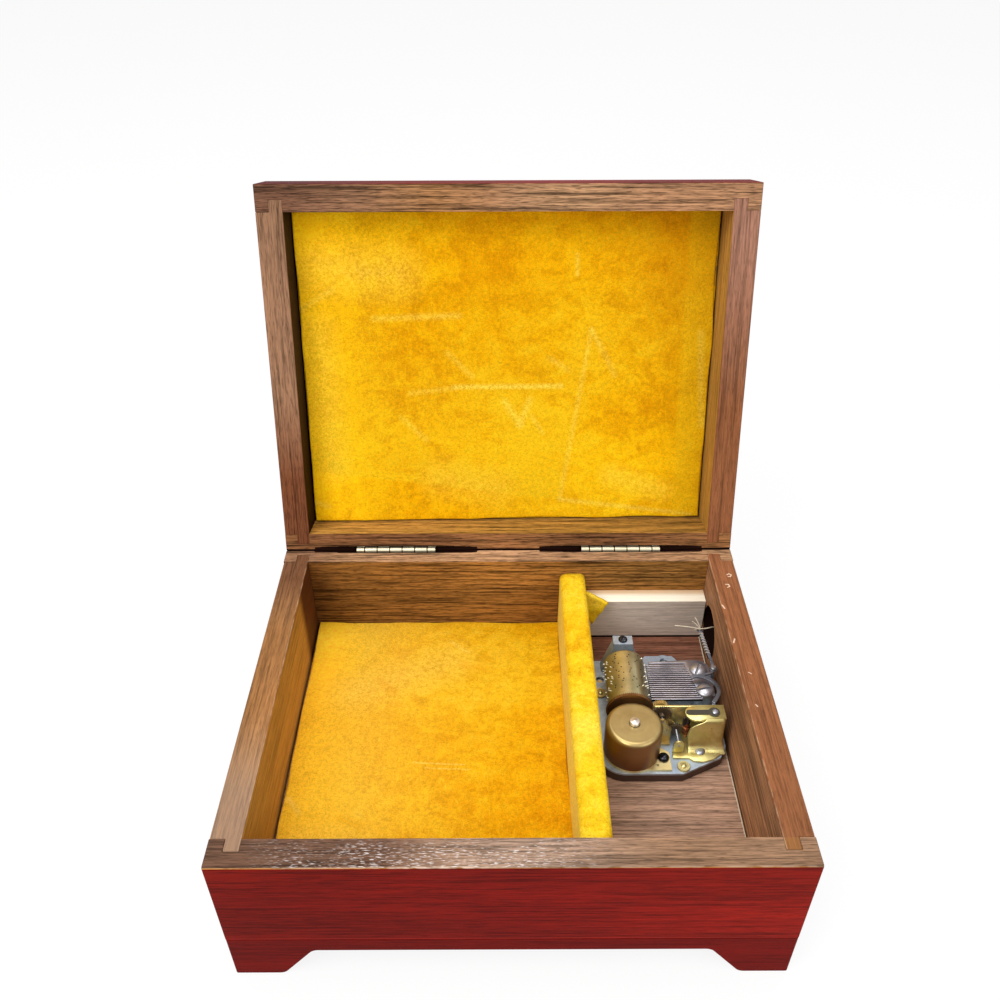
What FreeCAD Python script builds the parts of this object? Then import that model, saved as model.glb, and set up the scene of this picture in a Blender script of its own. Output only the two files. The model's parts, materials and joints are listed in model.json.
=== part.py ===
import FreeCAD, Part
import math
import os
import Sketcher

# Musical jewelry box: a wooden case on bracket feet, a hinged lid, a velvet lined
# compartment and an eighteen note comb movement with its winding key below.
# Millimetres. +X is the box's right, +Y its back, +Z up.
# The origin is the middle of the footprint, level with the undersides of the feet.

os.makedirs("parts", exist_ok=True)
doc = FreeCAD.newDocument("MusicalJewelryBox")

# Driving sizes, one row of the sheet each: name, number, what it measures.
DRIVING = [
    ("box_width", 153.0, "outside width of case and lid"),
    ("box_depth", 122.5, "outside depth of case and lid"),
    ("case_height", 33.9, "height of the case boards above the plinth"),
    ("plinth_height", 17.8, "height of the plinth with its feet"),
    ("wall", 8.3, "thickness of the case boards"),
    ("tongue_width", 4.1, "thickness of the tongue at each corner joint"),
    ("tongue_depth", 3.6, "how far each tongue enters its board"),
    ("edge_break", 0.6, "bevel on outer edges of the boards"),
    ("plinth_wall", 12.0, "thickness of the plinth boards"),
    ("foot_width", 13.6, "width of a foot where it stands"),
    ("foot_slope", 9.1, "run of the slope from foot to arch"),
    ("arch_height", 12.1, "height of the arch between the feet"),
    ("foot_round", 3.0, "rounding of the foot profile"),
    ("floor_thickness", 3.05, "thickness of the compartment floor"),
    ("floor_gap_right", 0.4, "gap at the sawn right edge of the floor"),
    ("slip", 0.15, "assembly gap round loose boards"),
    ("pad_card", 1.5, "thickness of the card under the floor velvet"),
    ("velvet", 0.9, "thickness of the velvet"),
    ("pad_gap", 0.9, "gap between the floor pad and the left wall"),
    ("divider_right_gap", 41.9, "from the right wall to the divider"),
    ("divider_board", 6.9, "thickness of the bare divider board"),
    ("divider_drop", 5.0, "how far the divider stays below the rim"),
    ("divider_round", 2.2, "rounding of the divider's velvet top"),
    ("support_thickness", 5.8, "thickness of the rear support board"),
    ("support_height", 17.3, "height of the rear support board"),
    ("support_gap", 0.25, "gap at the sawn end of the support board"),
    ("pocket_depth", 5.0, "depth of the thread pocket in the right wall"),
    ("pocket_radius", 9.2, "radius of the thread pocket in the right wall"),
    ("pocket_back", 13.7, "from the back wall to the middle of the thread pocket"),
    ("pocket_rise", 10.0, "from the floor to the middle of the thread pocket"),
    ("lid_height", 20.0, "outside height of the lid"),
    ("lid_rail", 8.2, "thickness of the lid rails"),
    ("lid_panel", 3.0, "thickness of the panel let into the lid"),
    ("lid_rebate", 4.1, "width of the rebate that holds the panel"),
    ("lid_round", 3.9, "rounding of the lid's outer top edges"),
    ("lid_gap", 0.12, "gap between the rims of the closed lid and case"),
    ("lid_open", 105.9, "degrees that the lid opens before its bevel stops it"),
    ("bevel_gap", 0.1, "clearance between the two stop bevels"),
    ("liner_card", 1.6, "thickness of the card inside the lid"),
    ("liner_gap", 0.45, "gap round the card inside the lid"),
    ("liner_depth_left", 10.8, "from the lid's rim in to the velvet at the left"),
    ("liner_depth_right", 14.3, "from the lid's rim in to the velvet at the right"),
    ("pin_inset", 2.3, "from the outer back face in to the hinge pin"),
    ("hinge_length", 27.0, "length of one hinge"),
    ("hinge_centre", 38.7, "from the middle of the box to the middle of a hinge"),
    ("knuckle_radius", 0.95, "radius of the hinge knuckles"),
    ("knuckle_gap", 0.08, "gap between neighbouring knuckles"),
    ("pin_radius", 0.5, "radius of the hinge pin"),
    ("pin_fit", 0.04, "radial clearance of the hinge pin"),
    ("leaf_thickness", 0.5, "thickness of a hinge leaf"),
    ("leaf_depth", 6.5, "how deep a hinge leaf reaches from the rim"),
    ("kerf_fit", 0.06, "clearance at each face of a leaf in its kerf"),
    ("slot_length", 57.0, "length of the routed knuckle slot"),
    ("slot_runout", 10.0, "length of the slot's shallow ends"),
    ("slot_reach", 1.35, "half width and depth of the knuckle slot"),
    ("movement_side_gap", 1.3, "from the movement's base to the right wall"),
    ("movement_back_gap", 18.5, "from the movement's base to the back wall"),
    ("base_height", 3.7, "height of the cast base"),
    ("base_skin", 1.5, "thickness of the cast base's top"),
    ("base_rib", 1.8, "thickness of the cast base's skirt"),
    ("axis_height", 11.2, "height of the pinned cylinder's axis"),
    ("plate", 0.8, "thickness of the brass foot plate"),
    ("drum_radius", 8.4, "outside radius of the spring drum"),
    ("drum_top", 5.1, "from the cylinder's axis up to the spring drum's top"),
    ("drum_wall", 0.5, "thickness of the spring drum's wall"),
    ("drum_round", 0.9, "rounding of the spring drum's top edge"),
    ("arbor_radius", 1.5, "radius of the winding arbor"),
    ("fit", 0.05, "radial clearance of every running fit"),
    ("key_width", 25.0, "span of the winding key's wings"),
    ("key_drop", 14.2, "how far the key hangs below the floor"),
    ("barrel_radius", 6.55, "radius of the pinned cylinder"),
    ("barrel_length", 18.7, "length of the pinned cylinder"),
    ("barrel_start", 10.6, "from the drum's axis to the pinned cylinder"),
    ("pin_reach", 0.5, "how far the note pins stand out"),
    ("thin_arbor", 0.75, "radius of the cylinder's arbor"),
    ("tip_gap", 0.1, "from the note pins to the comb's tips"),
    ("comb_thickness", 1.0, "thickness of the comb"),
    ("comb_start", 13.1, "from the drum's axis to the comb's front edge"),
    ("tooth_pitch", 0.83, "from one comb tooth to the next"),
    ("tooth_gap", 0.2, "width of the saw cut between comb teeth"),
    ("sheet_metal", 0.7, "thickness of the governor bracket"),
    ("bracket_top", 4.1, "from the cylinder's axis up to the governor bracket's top"),
    ("bridge_top", 5.5, "from the cylinder's axis up to the rear bridge's top"),
    ("gear_module", 0.2, "module of the fine wheels"),
    ("crown_module", "=(drum_radius - 1.2) / 18", "module of the great wheel, which fits in the drum"),
    ("lever_height", 2.3, "from the cylinder's axis up to the stop lever"),
    ("thread_radius", 0.2, "radius of the stop thread"),
]

# Counts: teeth of the wheels, and of the comb.
COMB_TEETH = 18
CYLINDER_TEETH = 72
FIRST_PINION = 22
FIRST_WHEEL = 32
MIDDLE_PINION = 10
MIDDLE_WHEEL = 20
LAST_PINION = 10
LAST_WHEEL = 22
GREAT_TEETH = 36
DRIVE_TEETH = 20
PINS_PER_TRACK = 4

sheet = doc.addObject("Spreadsheet::Sheet", "Sizes")
for row, (alias, number, note) in enumerate(DRIVING, start=1):
    sheet.set("A%d" % row, alias)
    sheet.set("B%d" % row, str(number))
    sheet.set("C%d" % row, note)
    sheet.setAlias("B%d" % row, alias)
doc.recompute()


class Size:
    """A number together with the sheet expression that gives it."""

    def __init__(self, number, text):
        self.number = float(number)
        self.text = text

    def __add__(self, other):
        other = as_size(other)
        return Size(self.number + other.number, "(%s + %s)" % (self.text, other.text))

    def __sub__(self, other):
        other = as_size(other)
        return Size(self.number - other.number, "(%s - %s)" % (self.text, other.text))

    def __mul__(self, other):
        other = as_size(other)
        return Size(self.number * other.number, "(%s * %s)" % (self.text, other.text))

    def __truediv__(self, other):
        other = as_size(other)
        return Size(self.number / other.number, "(%s / %s)" % (self.text, other.text))

    def __radd__(self, other):
        return as_size(other) + self

    def __rsub__(self, other):
        return as_size(other) - self

    def __rmul__(self, other):
        return as_size(other) * self

    def __neg__(self):
        return as_size(0) - self

    def __float__(self):
        return self.number


def as_size(value):
    """Give a plain number the form of a Size."""
    if isinstance(value, Size):
        return value
    return Size(value, repr(float(value)))


def tangent(angle):
    """Tangent of an angle in degrees."""
    angle = as_size(angle)
    return Size(math.tan(math.radians(angle.number)), "tan(%s)" % angle.text)


def size(alias):
    """Read one driving size from the sheet."""
    return Size(sheet.get(alias), "Sizes." + alias)


def bind(thing, path, value):
    """Tie a property of an object to the sheet."""
    thing.setExpression(path, as_size(value).text)


parts = []


def keep(thing, label):
    """Give a finished sub-part its name and list it for writing."""
    thing.Label = label
    parts.append(thing)
    return thing


def move(thing, place):
    """Bind an object's place to the sheet."""
    for axis, value in zip("xyz", place):
        bind(thing, "Placement.Base." + axis, value)


def box(label, low, high):
    """Plain block between two corners."""
    block = doc.addObject("Part::Box", label)
    for name, start, end in zip(("Length", "Width", "Height"), low, high):
        bind(block, name, as_size(end) - start)
    move(block, low)
    return block


# A body's sketch planes. Each prism runs along the plane's axis, from start to end.
NORMAL_SIGN = {"XY_Plane": 1, "XZ_Plane": -1, "YZ_Plane": 1}


def new_body(label):
    return doc.addObject("PartDesign::Body", label)


def sketch_on(body, plane, start):
    """Empty sketch on one of the body's own planes, raised to start."""
    sketch = body.newObject("Sketcher::SketchObject", body.Name + "_outline")
    origin = [f for f in body.Origin.OriginFeatures if f.Role == plane][0]
    sketch.AttachmentSupport = [(origin, "")]
    sketch.MapMode = "FlatFace"
    bind(sketch, "AttachmentOffset.Base.z", as_size(start) * NORMAL_SIGN[plane])
    return sketch


def draw_polygon(sketch, points):
    """Closed outline whose corners are bound to the sheet."""
    points = [(as_size(a), as_size(b)) for a, b in points]
    first = sketch.GeometryCount
    corners = [FreeCAD.Vector(a.number, b.number, 0) for a, b in points]
    count = len(corners)
    for index in range(count):
        line = Part.LineSegment(corners[index], corners[(index + 1) % count])
        sketch.addGeometry(line, False)
    for index in range(count):
        link = Sketcher.Constraint("Coincident", first + index, 2, first + (index + 1) % count, 1)
        sketch.addConstraint(link)
    for index, (a, b) in enumerate(points):
        for kind, value in (("DistanceX", a), ("DistanceY", b)):
            row = sketch.addConstraint(Sketcher.Constraint(kind, first + index, 1, value.number))
            bind(sketch, "Constraints[%d]" % row, value)


def ring_points(centre, radius, sides):
    """Corners of a regular outline that stands in for a small circle."""
    points = []
    for number in range(sides):
        angle = 2 * math.pi * number / sides
        points.append((as_size(centre[0]) + as_size(radius) * round(math.cos(angle), 6),
                       as_size(centre[1]) + as_size(radius) * round(math.sin(angle), 6)))
    return points


def draw_circle(sketch, centre, radius):
    """Full circle bound to the sheet."""
    a, b = as_size(centre[0]), as_size(centre[1])
    circle = Part.Circle(FreeCAD.Vector(a.number, b.number, 0), FreeCAD.Vector(0, 0, 1), float(radius))
    index = sketch.addGeometry(circle, False)
    for kind, value in (("DistanceX", a), ("DistanceY", b)):
        row = sketch.addConstraint(Sketcher.Constraint(kind, index, 3, value.number))
        bind(sketch, "Constraints[%d]" % row, value)
    row = sketch.addConstraint(Sketcher.Constraint("Radius", index, float(radius)))
    bind(sketch, "Constraints[%d]" % row, radius)


def grow(body, kind, plane, start, end, outline):
    """Pad or pocket between two stations of the plane's axis."""
    before = body.Shape.Volume if body.Tip else 0.0
    sketch = sketch_on(body, plane, start)
    outline(sketch)
    feature = body.newObject("PartDesign::" + kind, body.Name + "_" + kind.lower())
    feature.Profile = sketch
    bind(feature, "Length", as_size(end) - start)
    pad = kind == "Pad"
    feature.Reversed = (NORMAL_SIGN[plane] < 0) == pad
    doc.recompute()
    change = body.Shape.Volume - before
    if change == 0 or (change > 0) != pad:
        raise RuntimeError("%s of %s changed the volume by %g" % (kind, body.Label, change))
    return feature


def pad(body, plane, start, end, points):
    return grow(body, "Pad", plane, start, end, lambda sketch: draw_polygon(sketch, points))


def pocket(body, plane, start, end, points):
    return grow(body, "Pocket", plane, start, end, lambda sketch: draw_polygon(sketch, points))


def round_pad(body, plane, start, end, centre, radius):
    return grow(body, "Pad", plane, start, end, lambda sketch: draw_circle(sketch, centre, radius))


def round_pocket(body, plane, start, end, centre, radius):
    return grow(body, "Pocket", plane, start, end, lambda sketch: draw_circle(sketch, centre, radius))


def hole(body, plane, start, end, centres, radius, sides=12):
    """Small holes of one size. Their flat sides stay outside the stated radius."""
    def outline(sketch):
        for centre in centres:
            draw_polygon(sketch, ring_points(centre, as_size(radius) / math.cos(math.pi / sides), sides))
    return grow(body, "Pocket", plane, start, end, outline)


def prism(label, plane, start, end, points):
    body = new_body(label)
    pad(body, plane, start, end, points)
    return body


def rectangle(low, high):
    return [low, (high[0], low[1]), high, (low[0], high[1])]


def turned(label, points, along="Z"):
    """Solid of revolution of an (offset, height) outline about Z, or Y laid back."""
    body = new_body(label)
    sketch = sketch_on(body, "XZ_Plane", 0)
    draw_polygon(sketch, points)
    feature = body.newObject("PartDesign::Revolution", label + "_turn")
    feature.Profile = sketch
    feature.ReferenceAxis = (sketch, ["V_Axis"])
    feature.Angle = 360
    doc.recompute()
    if along == "Y":
        body.Placement = FreeCAD.Placement(FreeCAD.Vector(), FreeCAD.Rotation(FreeCAD.Vector(1, 0, 0), -90))
    return body


def is_straight(edge):
    try:
        return isinstance(edge.Curve, Part.Line)
    except TypeError:
        return False


def runs_along(edge, axis):
    step = edge.Vertexes[-1].Point - edge.Vertexes[0].Point
    return all(near(value, 0) or name == axis for name, value in zip("xyz", step))


def soften(body, radius, test, along="xyz"):
    """Fillet the straight edges along some axes whose ends both pass a test."""
    base = body.Tip
    names = []
    for index, edge in enumerate(base.Shape.Edges, start=1):
        if not is_straight(edge) or not all(test(v.Point) for v in edge.Vertexes):
            continue
        if along == "xyz" or any(runs_along(edge, axis) for axis in along):
            names.append("Edge%d" % index)
    if not names:
        raise RuntimeError("no edge to soften on " + body.Label)
    feature = body.newObject("PartDesign::Fillet", body.Name + "_fillet")
    feature.Base = (base, names)
    bind(feature, "Radius", radius)
    doc.recompute()
    return feature


def near(first, second):
    return abs(float(first) - float(second)) < 1e-4


def shape_part(label, shape, place=None):
    """Sub-part whose shape is worked out here from the sheet's numbers."""
    thing = doc.addObject("Part::Feature", label)
    thing.Shape = shape
    if place is not None:
        offset = thing.Placement.Base
        move(thing, [start + more for start, more in zip(place, offset)])
    return keep(thing, label)


AXES = {"x": ((0, 1, 0), (0, 0, 1)), "y": ((0, 0, 1), (1, 0, 0)), "z": ((1, 0, 0), (0, 1, 0))}


def rod(radius, length, start, along="z", sides=12, top=None):
    """Thin rod, or a taper if it has a top radius, with enough flat sides to pass for round."""
    across, upward = (FreeCAD.Vector(*v) for v in AXES[along])
    forward = across.cross(upward)
    base = FreeCAD.Vector(*start)
    rings = []
    for place, reach in ((base, radius), (base + forward * length, radius if top is None else top)):
        corners = []
        for number in range(sides):
            angle = 2 * math.pi * number / sides
            corners.append(place + across * (reach * math.cos(angle)) + upward * (reach * math.sin(angle)))
        rings.append(corners)
    low, high = rings
    outlines = [low, high]
    for number in range(sides):
        after = (number + 1) % sides
        outlines.append([low[number], low[after], high[after], high[number]])
    faces = [Part.Face(Part.makePolygon(outline + outline[:1])) for outline in outlines]
    return Part.Solid(Part.Shell(faces))


def bore_rod(radius, length, start, along="z", sides=12):
    """Tool for a small hole whose flat sides stay outside the radius."""
    return rod(radius / math.cos(math.pi / sides), length, start, along, sides)


# Planes and heights that several sub-parts share.
width = size("box_width")
depth = size("box_depth")
wall = size("wall")
left = -width / 2
right = width / 2
front = -depth / 2
back = depth / 2
inner_left = left + wall
inner_right = right - wall
inner_front = front + wall
inner_back = back - wall
case_bottom = size("plinth_height")
rim = case_bottom + size("case_height")
floor_top = case_bottom + size("floor_thickness")
pin_y = back - size("pin_inset")
bevel_drop = size("pin_inset") * tangent(size("lid_open") / 2)
lid_low = rim + size("lid_gap")
lid_high = lid_low + size("lid_height")
slip = size("slip")
velvet = size("velvet")


def hinge_slots(body, sign):
    """Knuckle slot and leaf kerf for both hinges, down into the case or up into the lid."""
    reach = size("slot_reach")
    run = size("slot_runout")
    spare = 0.5 * sign
    for side in (-1, 1):
        centre = size("hinge_centre") * side
        low = centre - size("slot_length") / 2
        high = centre + size("slot_length") / 2
        slot = [(low, rim - spare), (low, rim), (low + run, rim + reach * sign),
                (high - run, rim + reach * sign), (high, rim), (high, rim - spare)]
        pocket(body, "XZ_Plane", pin_y - reach, pin_y + reach, slot)
        half = size("hinge_length") / 2
        deep = rim + (size("leaf_depth") + 0.7) * sign
        kerf = [(centre - half - 4.0, rim), (centre - half - 0.3, deep),
                (centre + half + 0.3, deep), (centre + half + 4.0, rim)]
        kerf_low = pin_y - size("knuckle_radius") - size("kerf_fit")
        kerf_high = kerf_low + size("leaf_thickness") + size("kerf_fit") * 2
        pocket(body, "XZ_Plane", kerf_low, kerf_high, kerf)


def long_board(label, outer, inner, low, high, profile):
    """Front or back board over the full width, with a housing for each side tongue."""
    body = prism(label, "YZ_Plane", left, right, profile)
    toward = 1 if float(inner) < float(outer) else -1
    bottom = as_size(inner) + size("tongue_depth") * toward
    ends = sorted((as_size(inner), bottom), key=float)
    for edge, sign in ((left, 1), (right, -1)):
        rail = wall if outer in (front, back) and low is case_bottom else size("lid_rail")
        near_face = edge + rail * sign
        far_face = near_face - size("tongue_width") * sign
        x_low, x_high = sorted((near_face, far_face), key=float)
        pocket(body, "XY_Plane", low, high, rectangle((x_low, ends[0]), (x_high, ends[1])))
    return body


def side_board(label, outer, inner, y_low, y_high, profile, low, high):
    """Side board with its inner half carried on as a tongue at both ends."""
    body = prism(label, "XZ_Plane", y_low, y_high, profile)
    toward = 1 if float(outer) > float(inner) else -1
    x_low, x_high = sorted((as_size(inner), as_size(inner) + size("tongue_width") * toward), key=float)
    tongue = rectangle((x_low, low), (x_high, high))
    pad(body, "XZ_Plane", y_low - size("tongue_depth"), y_high + size("tongue_depth"), tongue)
    return body


def build_case():
    brk = size("edge_break")
    body = long_board("case_front", front, inner_front, case_bottom, rim, [
        (front, case_bottom), (inner_front, case_bottom), (inner_front, rim),
        (front + brk, rim), (front, rim - brk)])
    soften(body, brk * 0.7, lambda p: near(abs(p.x), right) and near(p.y, front), along="z")
    keep(body, "case_front")
    body = long_board("case_back", back, inner_back, case_bottom, rim, [
        (inner_back, case_bottom), (back, case_bottom), (back, rim - bevel_drop),
        (pin_y - size("bevel_gap"), rim), (inner_back, rim)])
    hinge_slots(body, -1)
    keep(body, "case_back")
    body = side_board("case_left", left, inner_left, inner_front, inner_back, [
        (left, case_bottom), (inner_left, case_bottom), (inner_left, rim),
        (left + brk, rim), (left, rim - brk)], case_bottom, rim)
    keep(body, "case_left")
    body = side_board("case_right", right, inner_right, inner_front, inner_back, [
        (inner_right, case_bottom), (right, case_bottom), (right, rim - brk),
        (right - brk, rim), (inner_right, rim)], case_bottom, rim)
    round_pocket(body, "YZ_Plane", inner_right, inner_right + size("pocket_depth"),
                 (inner_back - size("pocket_back"), floor_top + size("pocket_rise")), size("pocket_radius"))
    keep(body, "case_right")


def foot_profile(low, high):
    """Outline of a plinth board, with a foot at each end and an arch between."""
    foot = size("foot_width")
    slope = foot + size("foot_slope")
    arch = size("arch_height")
    return [(low, 0), (low + foot, 0), (low + slope, arch), (high - slope, arch),
            (high - foot, 0), (high, 0), (high, case_bottom), (low, case_bottom)]


def round_feet(body, low, high, pick, along):
    """Ease the corners of the foot profile."""
    foot = size("foot_width")
    slope = foot + size("foot_slope")
    lines = [float(low + foot), float(high - foot)]
    lines += [float(low + slope), float(high - slope)]
    soften(body, size("foot_round"), lambda p: any(near(pick(p), line) for line in lines)
           and (near(p.z, 0) or near(p.z, size("arch_height"))), along=along)


def build_plinth():
    thick = size("plinth_wall")
    for label, y_low in (("plinth_front", front), ("plinth_back", back - thick)):
        body = prism(label, "XZ_Plane", y_low, y_low + thick, foot_profile(left, right))
        round_feet(body, left, right, lambda p: p.x, "y")
        outer = front if label == "plinth_front" else back
        soften(body, size("edge_break"), lambda p: near(abs(p.x), right) and near(p.y, outer), along="z")
        keep(body, label)
    for label, x_low in (("plinth_left", left), ("plinth_right", right - thick)):
        body = prism(label, "YZ_Plane", x_low, x_low + thick, foot_profile(front, back))
        round_feet(body, front, back, lambda p: p.y, "x")
        for y_low in (front, back - thick):
            end = rectangle((x_low - 1, y_low), (x_low + thick + 1, y_low + thick))
            pocket(body, "XY_Plane", -1, case_bottom + 1, end)
        keep(body, label)


# Place of the movement: the drum's axis, on top of the floor board.
BASE_RIGHT = 29.4
BASE_LEFT = -10.5
BASE_FRONT = -8.9
BASE_REAR = 37.2
LUG_REAR = 39.3
move_x = inner_right - size("movement_side_gap") - BASE_RIGHT
move_y = inner_back - size("movement_back_gap") - LUG_REAR
movement = (move_x, move_y, floor_top)
SCREW_PLACES = [(-7.25, 28.8), (15.1, 37.0), (22.0, 10.0)]
SCREW_RADIUS = 1.3

divider_right = inner_right - size("divider_right_gap")
divider_left = divider_right - size("divider_board") - velvet * 2
divider_top = rim - size("divider_drop")


def build_floor_and_linings():
    body = prism("floor_board", "XY_Plane", case_bottom, floor_top, rectangle(
        (inner_left + slip, inner_front + slip), (inner_right - size("floor_gap_right"), inner_back - slip)))
    hole(body, "XY_Plane", case_bottom, floor_top, [(move_x, move_y)], 4.5)
    spots = [(move_x + x, move_y + y) for x, y in SCREW_PLACES]
    hole(body, "XY_Plane", case_bottom, floor_top, spots, SCREW_RADIUS + 0.2)
    keep(body, "floor_board")

    card_low = (inner_left + size("pad_gap"), inner_front + slip, floor_top)
    card_high = (divider_left - slip * 2, inner_back - slip, floor_top + size("pad_card"))
    keep(box("floor_pad_card", card_low, card_high), "floor_pad_card")
    body = prism("floor_pad_velvet", "XY_Plane", card_high[2], card_high[2] + velvet,
                 rectangle(card_low[:2], card_high[:2]))
    top = card_high[2] + velvet
    soften(body, velvet / 2, lambda p: near(p.z, top))
    keep(body, "floor_pad_velvet")

    y_low = inner_front + slip
    y_high = inner_back - slip
    low = (divider_left + velvet, y_low, floor_top)
    high = (divider_right - velvet, y_high, divider_top - velvet)
    keep(box("divider_board", low, high), "divider_board")
    body = prism("divider_velvet", "XZ_Plane", y_low, y_high, [
        (divider_left, floor_top), (low[0], floor_top), (low[0], high[2]), (high[0], high[2]),
        (high[0], floor_top), (divider_right, floor_top), (divider_right, divider_top),
        (divider_left, divider_top)])
    soften(body, size("divider_round"), lambda p: near(p.z, divider_top), along="y")
    keep(body, "divider_velvet")

    support_front = inner_back - size("support_thickness")
    flap_back = support_front - 0.9
    body = prism("velvet_flap", "XZ_Plane", flap_back - velvet, flap_back, [
        (divider_right, rim - 7.4), (divider_right + 7.4, rim - 11.4),
        (divider_right + 2.7, rim - 21.9), (divider_right, rim - 15.0)])
    keep(body, "velvet_flap")

    low = (divider_right + slip, support_front, floor_top)
    high = (inner_right - size("support_gap"), inner_back, floor_top + size("support_height"))
    keep(box("support_board", low, high), "support_board")


lid_parts = []


def keep_lid(thing, label):
    lid_parts.append(thing)
    return keep(thing, label)


def build_lid():
    """Lid in its closed place. The open pose is set at the end."""
    rail = size("lid_rail")
    rebate = size("lid_rebate")
    ledge = lid_high - size("lid_panel")
    radius = size("lid_round")
    rebate_x = (left + rail - rebate, right - rail + rebate)
    rebate_y = (front + rail - rebate, back - rail + rebate)

    body = long_board("lid_front_rail", front, front + rail, lid_low, lid_high,
                      rectangle((front, lid_low), (front + rail, lid_high)))
    pocket(body, "XY_Plane", ledge, lid_high + 1, rectangle(
        (rebate_x[0], rebate_y[0]), (rebate_x[1], front + rail + 1)))
    soften(body, radius, lambda p: near(p.z, lid_high) and (
        near(p.y, front) or near(p.x, left) or near(p.x, right)))
    keep_lid(body, "lid_front_rail")

    body = long_board("lid_back_rail", back, back - rail, lid_low, lid_high, [
        (back - rail, lid_low), (pin_y - size("bevel_gap"), lid_low),
        (pin_y - size("bevel_gap"), rim + size("lid_gap") + 0.02), (back, rim + bevel_drop),
        (back, lid_high), (back - rail, lid_high)])
    pocket(body, "XY_Plane", ledge, lid_high + 1, rectangle(
        (rebate_x[0], back - rail - 1), (rebate_x[1], rebate_y[1])))
    hinge_slots(body, 1)
    soften(body, radius, lambda p: near(p.z, lid_high) and (
        near(p.y, back) or near(p.x, left) or near(p.x, right)))
    keep_lid(body, "lid_back_rail")

    sides = (("lid_left_rail", left, left + rail), ("lid_right_rail", right, right - rail))
    for label, outer, inner in sides:
        x_low, x_high = sorted((outer, inner), key=float)
        body = side_board(label, outer, inner, front + rail, back - rail,
                          rectangle((x_low, lid_low), (x_high, lid_high)), lid_low, ledge)
        edge = rebate_x[0] if outer is left else rebate_x[1]
        far = (inner + 1) if outer is left else (inner - 1)
        cut_low, cut_high = sorted((edge, far), key=float)
        pocket(body, "XZ_Plane", front, back, rectangle((cut_low, ledge), (cut_high, lid_high + 1)))
        soften(body, radius, lambda p: near(p.z, lid_high) and near(p.x, outer))
        keep_lid(body, label)

    body = prism("lid_panel", "XY_Plane", ledge, lid_high, rectangle(
        (rebate_x[0], rebate_y[0]), (rebate_x[1], rebate_y[1])))
    keep_lid(body, "lid_panel")
    build_lid_liner(rail)


def build_lid_liner(rail):
    """Velvet covered card, which sits nearer the rim at its left end."""
    gap = size("liner_gap")
    long = float(width - rail * 2 - gap * 2)
    broad = float(depth - rail * 2 - gap * 2)
    rise = float(size("liner_depth_right") - size("liner_depth_left"))
    tilt = math.degrees(math.asin(rise / long))
    middle = (float(size("liner_depth_left")) + float(size("liner_depth_right"))) / 2
    centre = FreeCAD.Vector(0, 0, float(rim) + middle)
    lean = FreeCAD.Rotation(FreeCAD.Vector(0, 1, 0), -tilt)
    for label, thick, lift in (("lid_liner_velvet", float(velvet), 0.0),
                               ("lid_liner_card", float(size("liner_card")), float(velvet))):
        slab = Part.makeBox(long, broad, thick, FreeCAD.Vector(-long / 2, -broad / 2, lift))
        slab.Placement = FreeCAD.Placement(centre, lean)
        holder = doc.addObject("Part::Feature", label)
        holder.Shape = slab
        keep_lid(holder, label)


KNUCKLES = 7
END_KNUCKLE = 2.75


def hinge_leaf(centre, sign, odd):
    """Leaf in its kerf, with the knuckles that it holds round the pin."""
    half = float(size("hinge_length")) / 2
    end = END_KNUCKLE
    inner = (half - end) * 2 / (KNUCKLES - 2)
    bounds = [-half, -half + end]
    for step in range(KNUCKLES - 2):
        bounds.append(bounds[-1] + inner)
    bounds.append(half)
    radius = float(size("knuckle_radius"))
    gap = float(size("knuckle_gap")) / 2
    x = float(centre)
    y = float(pin_y)
    z = float(rim)
    thick = float(size("leaf_thickness"))
    reach = float(size("leaf_depth"))
    root = radius + 0.2
    z_low = z + root if sign > 0 else z - reach
    leaf = Part.makeBox(half * 2, thick, reach - root, FreeCAD.Vector(x - half, y - radius, z_low))
    pieces = []
    for number in range(KNUCKLES):
        if (number % 2 == 1) != odd:
            continue
        start = bounds[number] + (gap if number > 0 else 0)
        length = bounds[number + 1] - (gap if number < KNUCKLES - 1 else 0) - start
        pieces.append(rod(radius, length, (x + start, y, z), "x"))
        tab_low = z if sign > 0 else z - root
        pieces.append(Part.makeBox(length, thick, root, FreeCAD.Vector(x + start, y - radius, tab_low)))
    leaf = leaf.multiFuse(pieces)
    bore = float(size("pin_radius")) + float(size("pin_fit"))
    leaf = leaf.cut(bore_rod(bore, half * 2 + 2, (x - half - 1, y, z), "x"))
    return leaf.removeSplitter()


def build_hinges():
    for side, name in ((-1, "left"), (1, "right")):
        centre = size("hinge_centre") * side
        shape_part("hinge_%s_case_leaf" % name, hinge_leaf(centre, -1, False))
        label = "hinge_%s_lid_leaf" % name
        lid_parts.append(shape_part(label, hinge_leaf(centre, 1, True)))
        pin = doc.addObject("Part::Cylinder", "hinge_%s_pin" % name)
        bind(pin, "Radius", size("pin_radius"))
        bind(pin, "Height", size("hinge_length"))
        pin.Placement = FreeCAD.Placement(FreeCAD.Vector(), FreeCAD.Rotation(FreeCAD.Vector(0, 1, 0), 90))
        move(pin, (centre - size("hinge_length") / 2, pin_y, rim))
        keep(pin, "hinge_%s_pin" % name)


def open_lid():
    """Swing every piece of the lid back about the hinge pins."""
    pin = FreeCAD.Vector(0, float(pin_y), float(rim))
    swing = FreeCAD.Placement(FreeCAD.Vector(), FreeCAD.Rotation(
        FreeCAD.Vector(-1, 0, 0), float(size("lid_open"))), pin)
    for thing in lid_parts:
        thing.Placement = swing.multiply(thing.Placement)


# From here on each sub-part of the movement is drawn about the drum's axis,
# with zero height at the underside of the cast base, and then moved to its place.

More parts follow.
